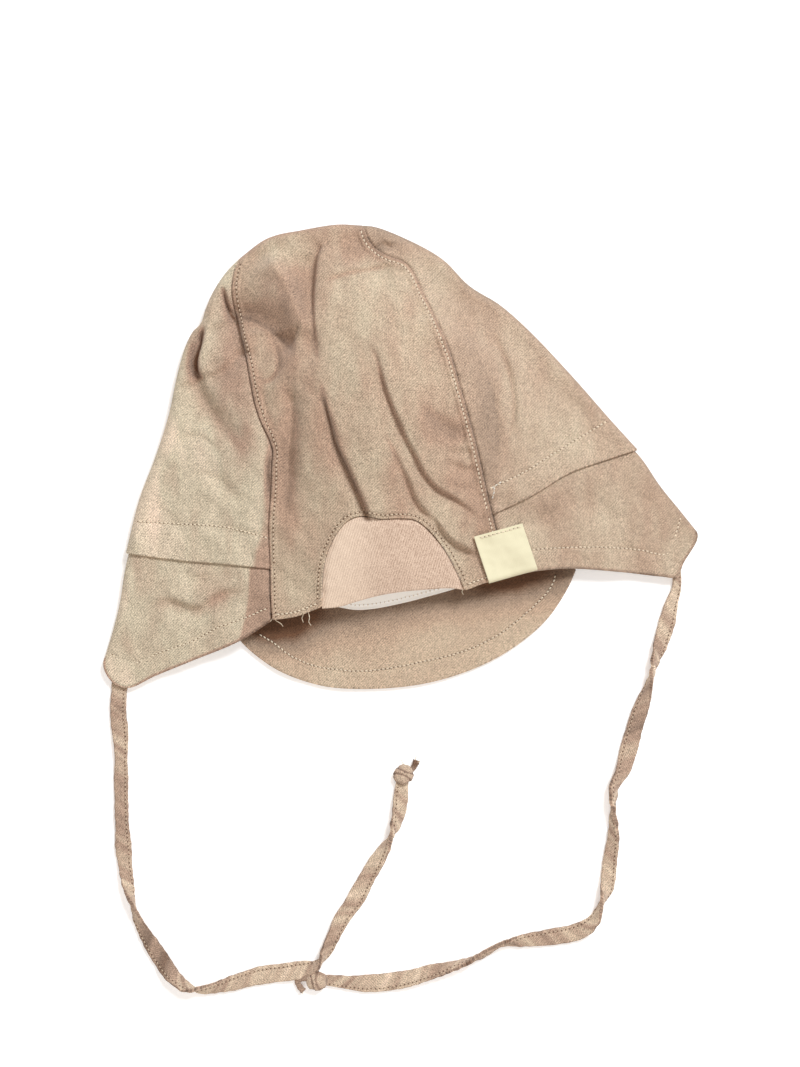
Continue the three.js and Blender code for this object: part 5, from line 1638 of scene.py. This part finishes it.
def make_floor():
    half, height = 2.0, -0.0006
    corners = [(x * half, y * half, height) for x, y in ((-1, -1), (1, -1), (1, 1), (-1, 1))]
    mesh = bpy.data.meshes.new("floor")
    mesh.from_pydata(corners, [], [(0, 1, 2, 3)])
    floor = bpy.data.objects.new("floor", mesh)
    bpy.context.scene.collection.objects.link(floor)
    floor.data.materials.append(floor_material())


def area_light(name, place, aim, size, power, colour):
    data = bpy.data.lights.new(name, "AREA")
    data.shape = "DISK"
    data.size = size
    data.energy = power
    data.color = colour
    light = bpy.data.objects.new(name, data)
    light.location = place
    light.rotation_euler = (Vector(aim) - Vector(place)).to_track_quat("-Z", "Y").to_euler()
    bpy.context.scene.collection.objects.link(light)


def make_studio():
    """A nearly white room with a large soft lamp up the page and to the right"""
    scene = bpy.context.scene
    scene.view_settings.view_transform = "Standard"
    world = bpy.data.worlds.new("studio")
    scene.world = world
    world.use_nodes = True
    tree = Tree(world.node_tree)
    background = tree.add("ShaderNodeBackground", {"Color": (1.0, 0.92, 0.86, 1), "Strength": 0.46})
    tree.add("ShaderNodeOutputWorld", {"Surface": background.outputs[0]})
    area_light("key", (0.46, 0.7, 1.06), (0, 0, 0), 0.42, 16.5, (0.9, 0.95, 1.0))
    area_light("fill", (0.05, -0.8, 0.7), (0, -0.05, 0), 0.6, 2.6, (1.0, 0.97, 0.94))


# The hat

make_camera()
centre_cotton = cotton("Centre cotton", (195, 178, 153), (178, 148, 126))
sand_cotton = cotton("Sand side cotton", (202, 188, 163), (180, 150, 129))
rose_cotton = cotton("Rose side cotton", (196, 178, 154), (180, 154, 132))
visor_cotton = cotton("Visor cotton", (205, 186, 160), (189, 162, 138))
tie_cotton = cotton("Tie cotton", (212, 190, 165), (178, 150, 130))
jersey = knitted("Patch jersey", (226, 200, 178), (166, 136, 116))
# painted light: the white lining and its threads glow, so that they look bright inside the mouth where the
# hat shades them
white_lining = woven("White lining", (254, 252, 248), (236, 230, 220), 0.55, 0.00006, 0.2)
label_cream = woven("Cream label", (241, 233, 202), (216, 208, 174), 0.35, 0.00004)
light_thread = thread_material("Light thread", (249, 237, 214), (224, 204, 176))
seam_thread = thread_material("Seam thread", (234, 214, 188), (200, 176, 150))
white_thread = thread_material("White thread", (250, 246, 236), (214, 204, 188))
lining_thread = thread_material("Lining thread", (255, 253, 248), (242, 236, 228), 0.3)
# painted shade: the needle holes are small bodies, dark brown in the cotton and grey in the lining
lining_hole_shade = thread_material("Painted shade of a lining needle hole", (206, 194, 180), (186, 172, 156), 0.12)
needle_hole_shade = thread_material("Painted shade of a needle hole", (116, 84, 62), (88, 60, 42))

make_tie("left", TIE_LEFT, KNOT_LEFT, 1, tie_cotton, seam_thread, needle_hole_shade)
make_tie("right", TIE_RIGHT, KNOT_RIGHT, 2, tie_cotton, seam_thread, needle_hole_shade)
finished(make_crown_center(), centre_cotton, "cotton", "crown_center")
finished(make_side("side_left", LEFT), sand_cotton, "cotton", "side_left")
finished(make_side("side_right", RIGHT), rose_cotton, "cotton", "side_right")
finished(make_flap("flap_left", LEFT), sand_cotton, "cotton", "flap_left")
finished(make_flap("flap_right", RIGHT), rose_cotton, "cotton", "flap_right")
finished(make_back_patch(), jersey, "jersey", "back_patch")
finished(make_visor(), visor_cotton, "cotton", "visor")
finished(make_inner_band(), white_lining, "lining", "inner_band")
finished(make_label(), label_cream, "label", "label")
for look, thread, hole, hole_radius in (
    ("dotted", seam_thread, needle_hole_shade, 0.34), ("light", light_thread, needle_hole_shade, 0.23),
    ("band", lining_thread, lining_hole_shade, 0.3), ("tack", white_thread, light_thread, 0.3),
):
    rows = [row for row in STITCH_ROWS if row["look"] == look]
    row_stitches(look, rows, thread, hole, hole_radius)
make_loose_ends(light_thread)
make_floor()
make_studio()
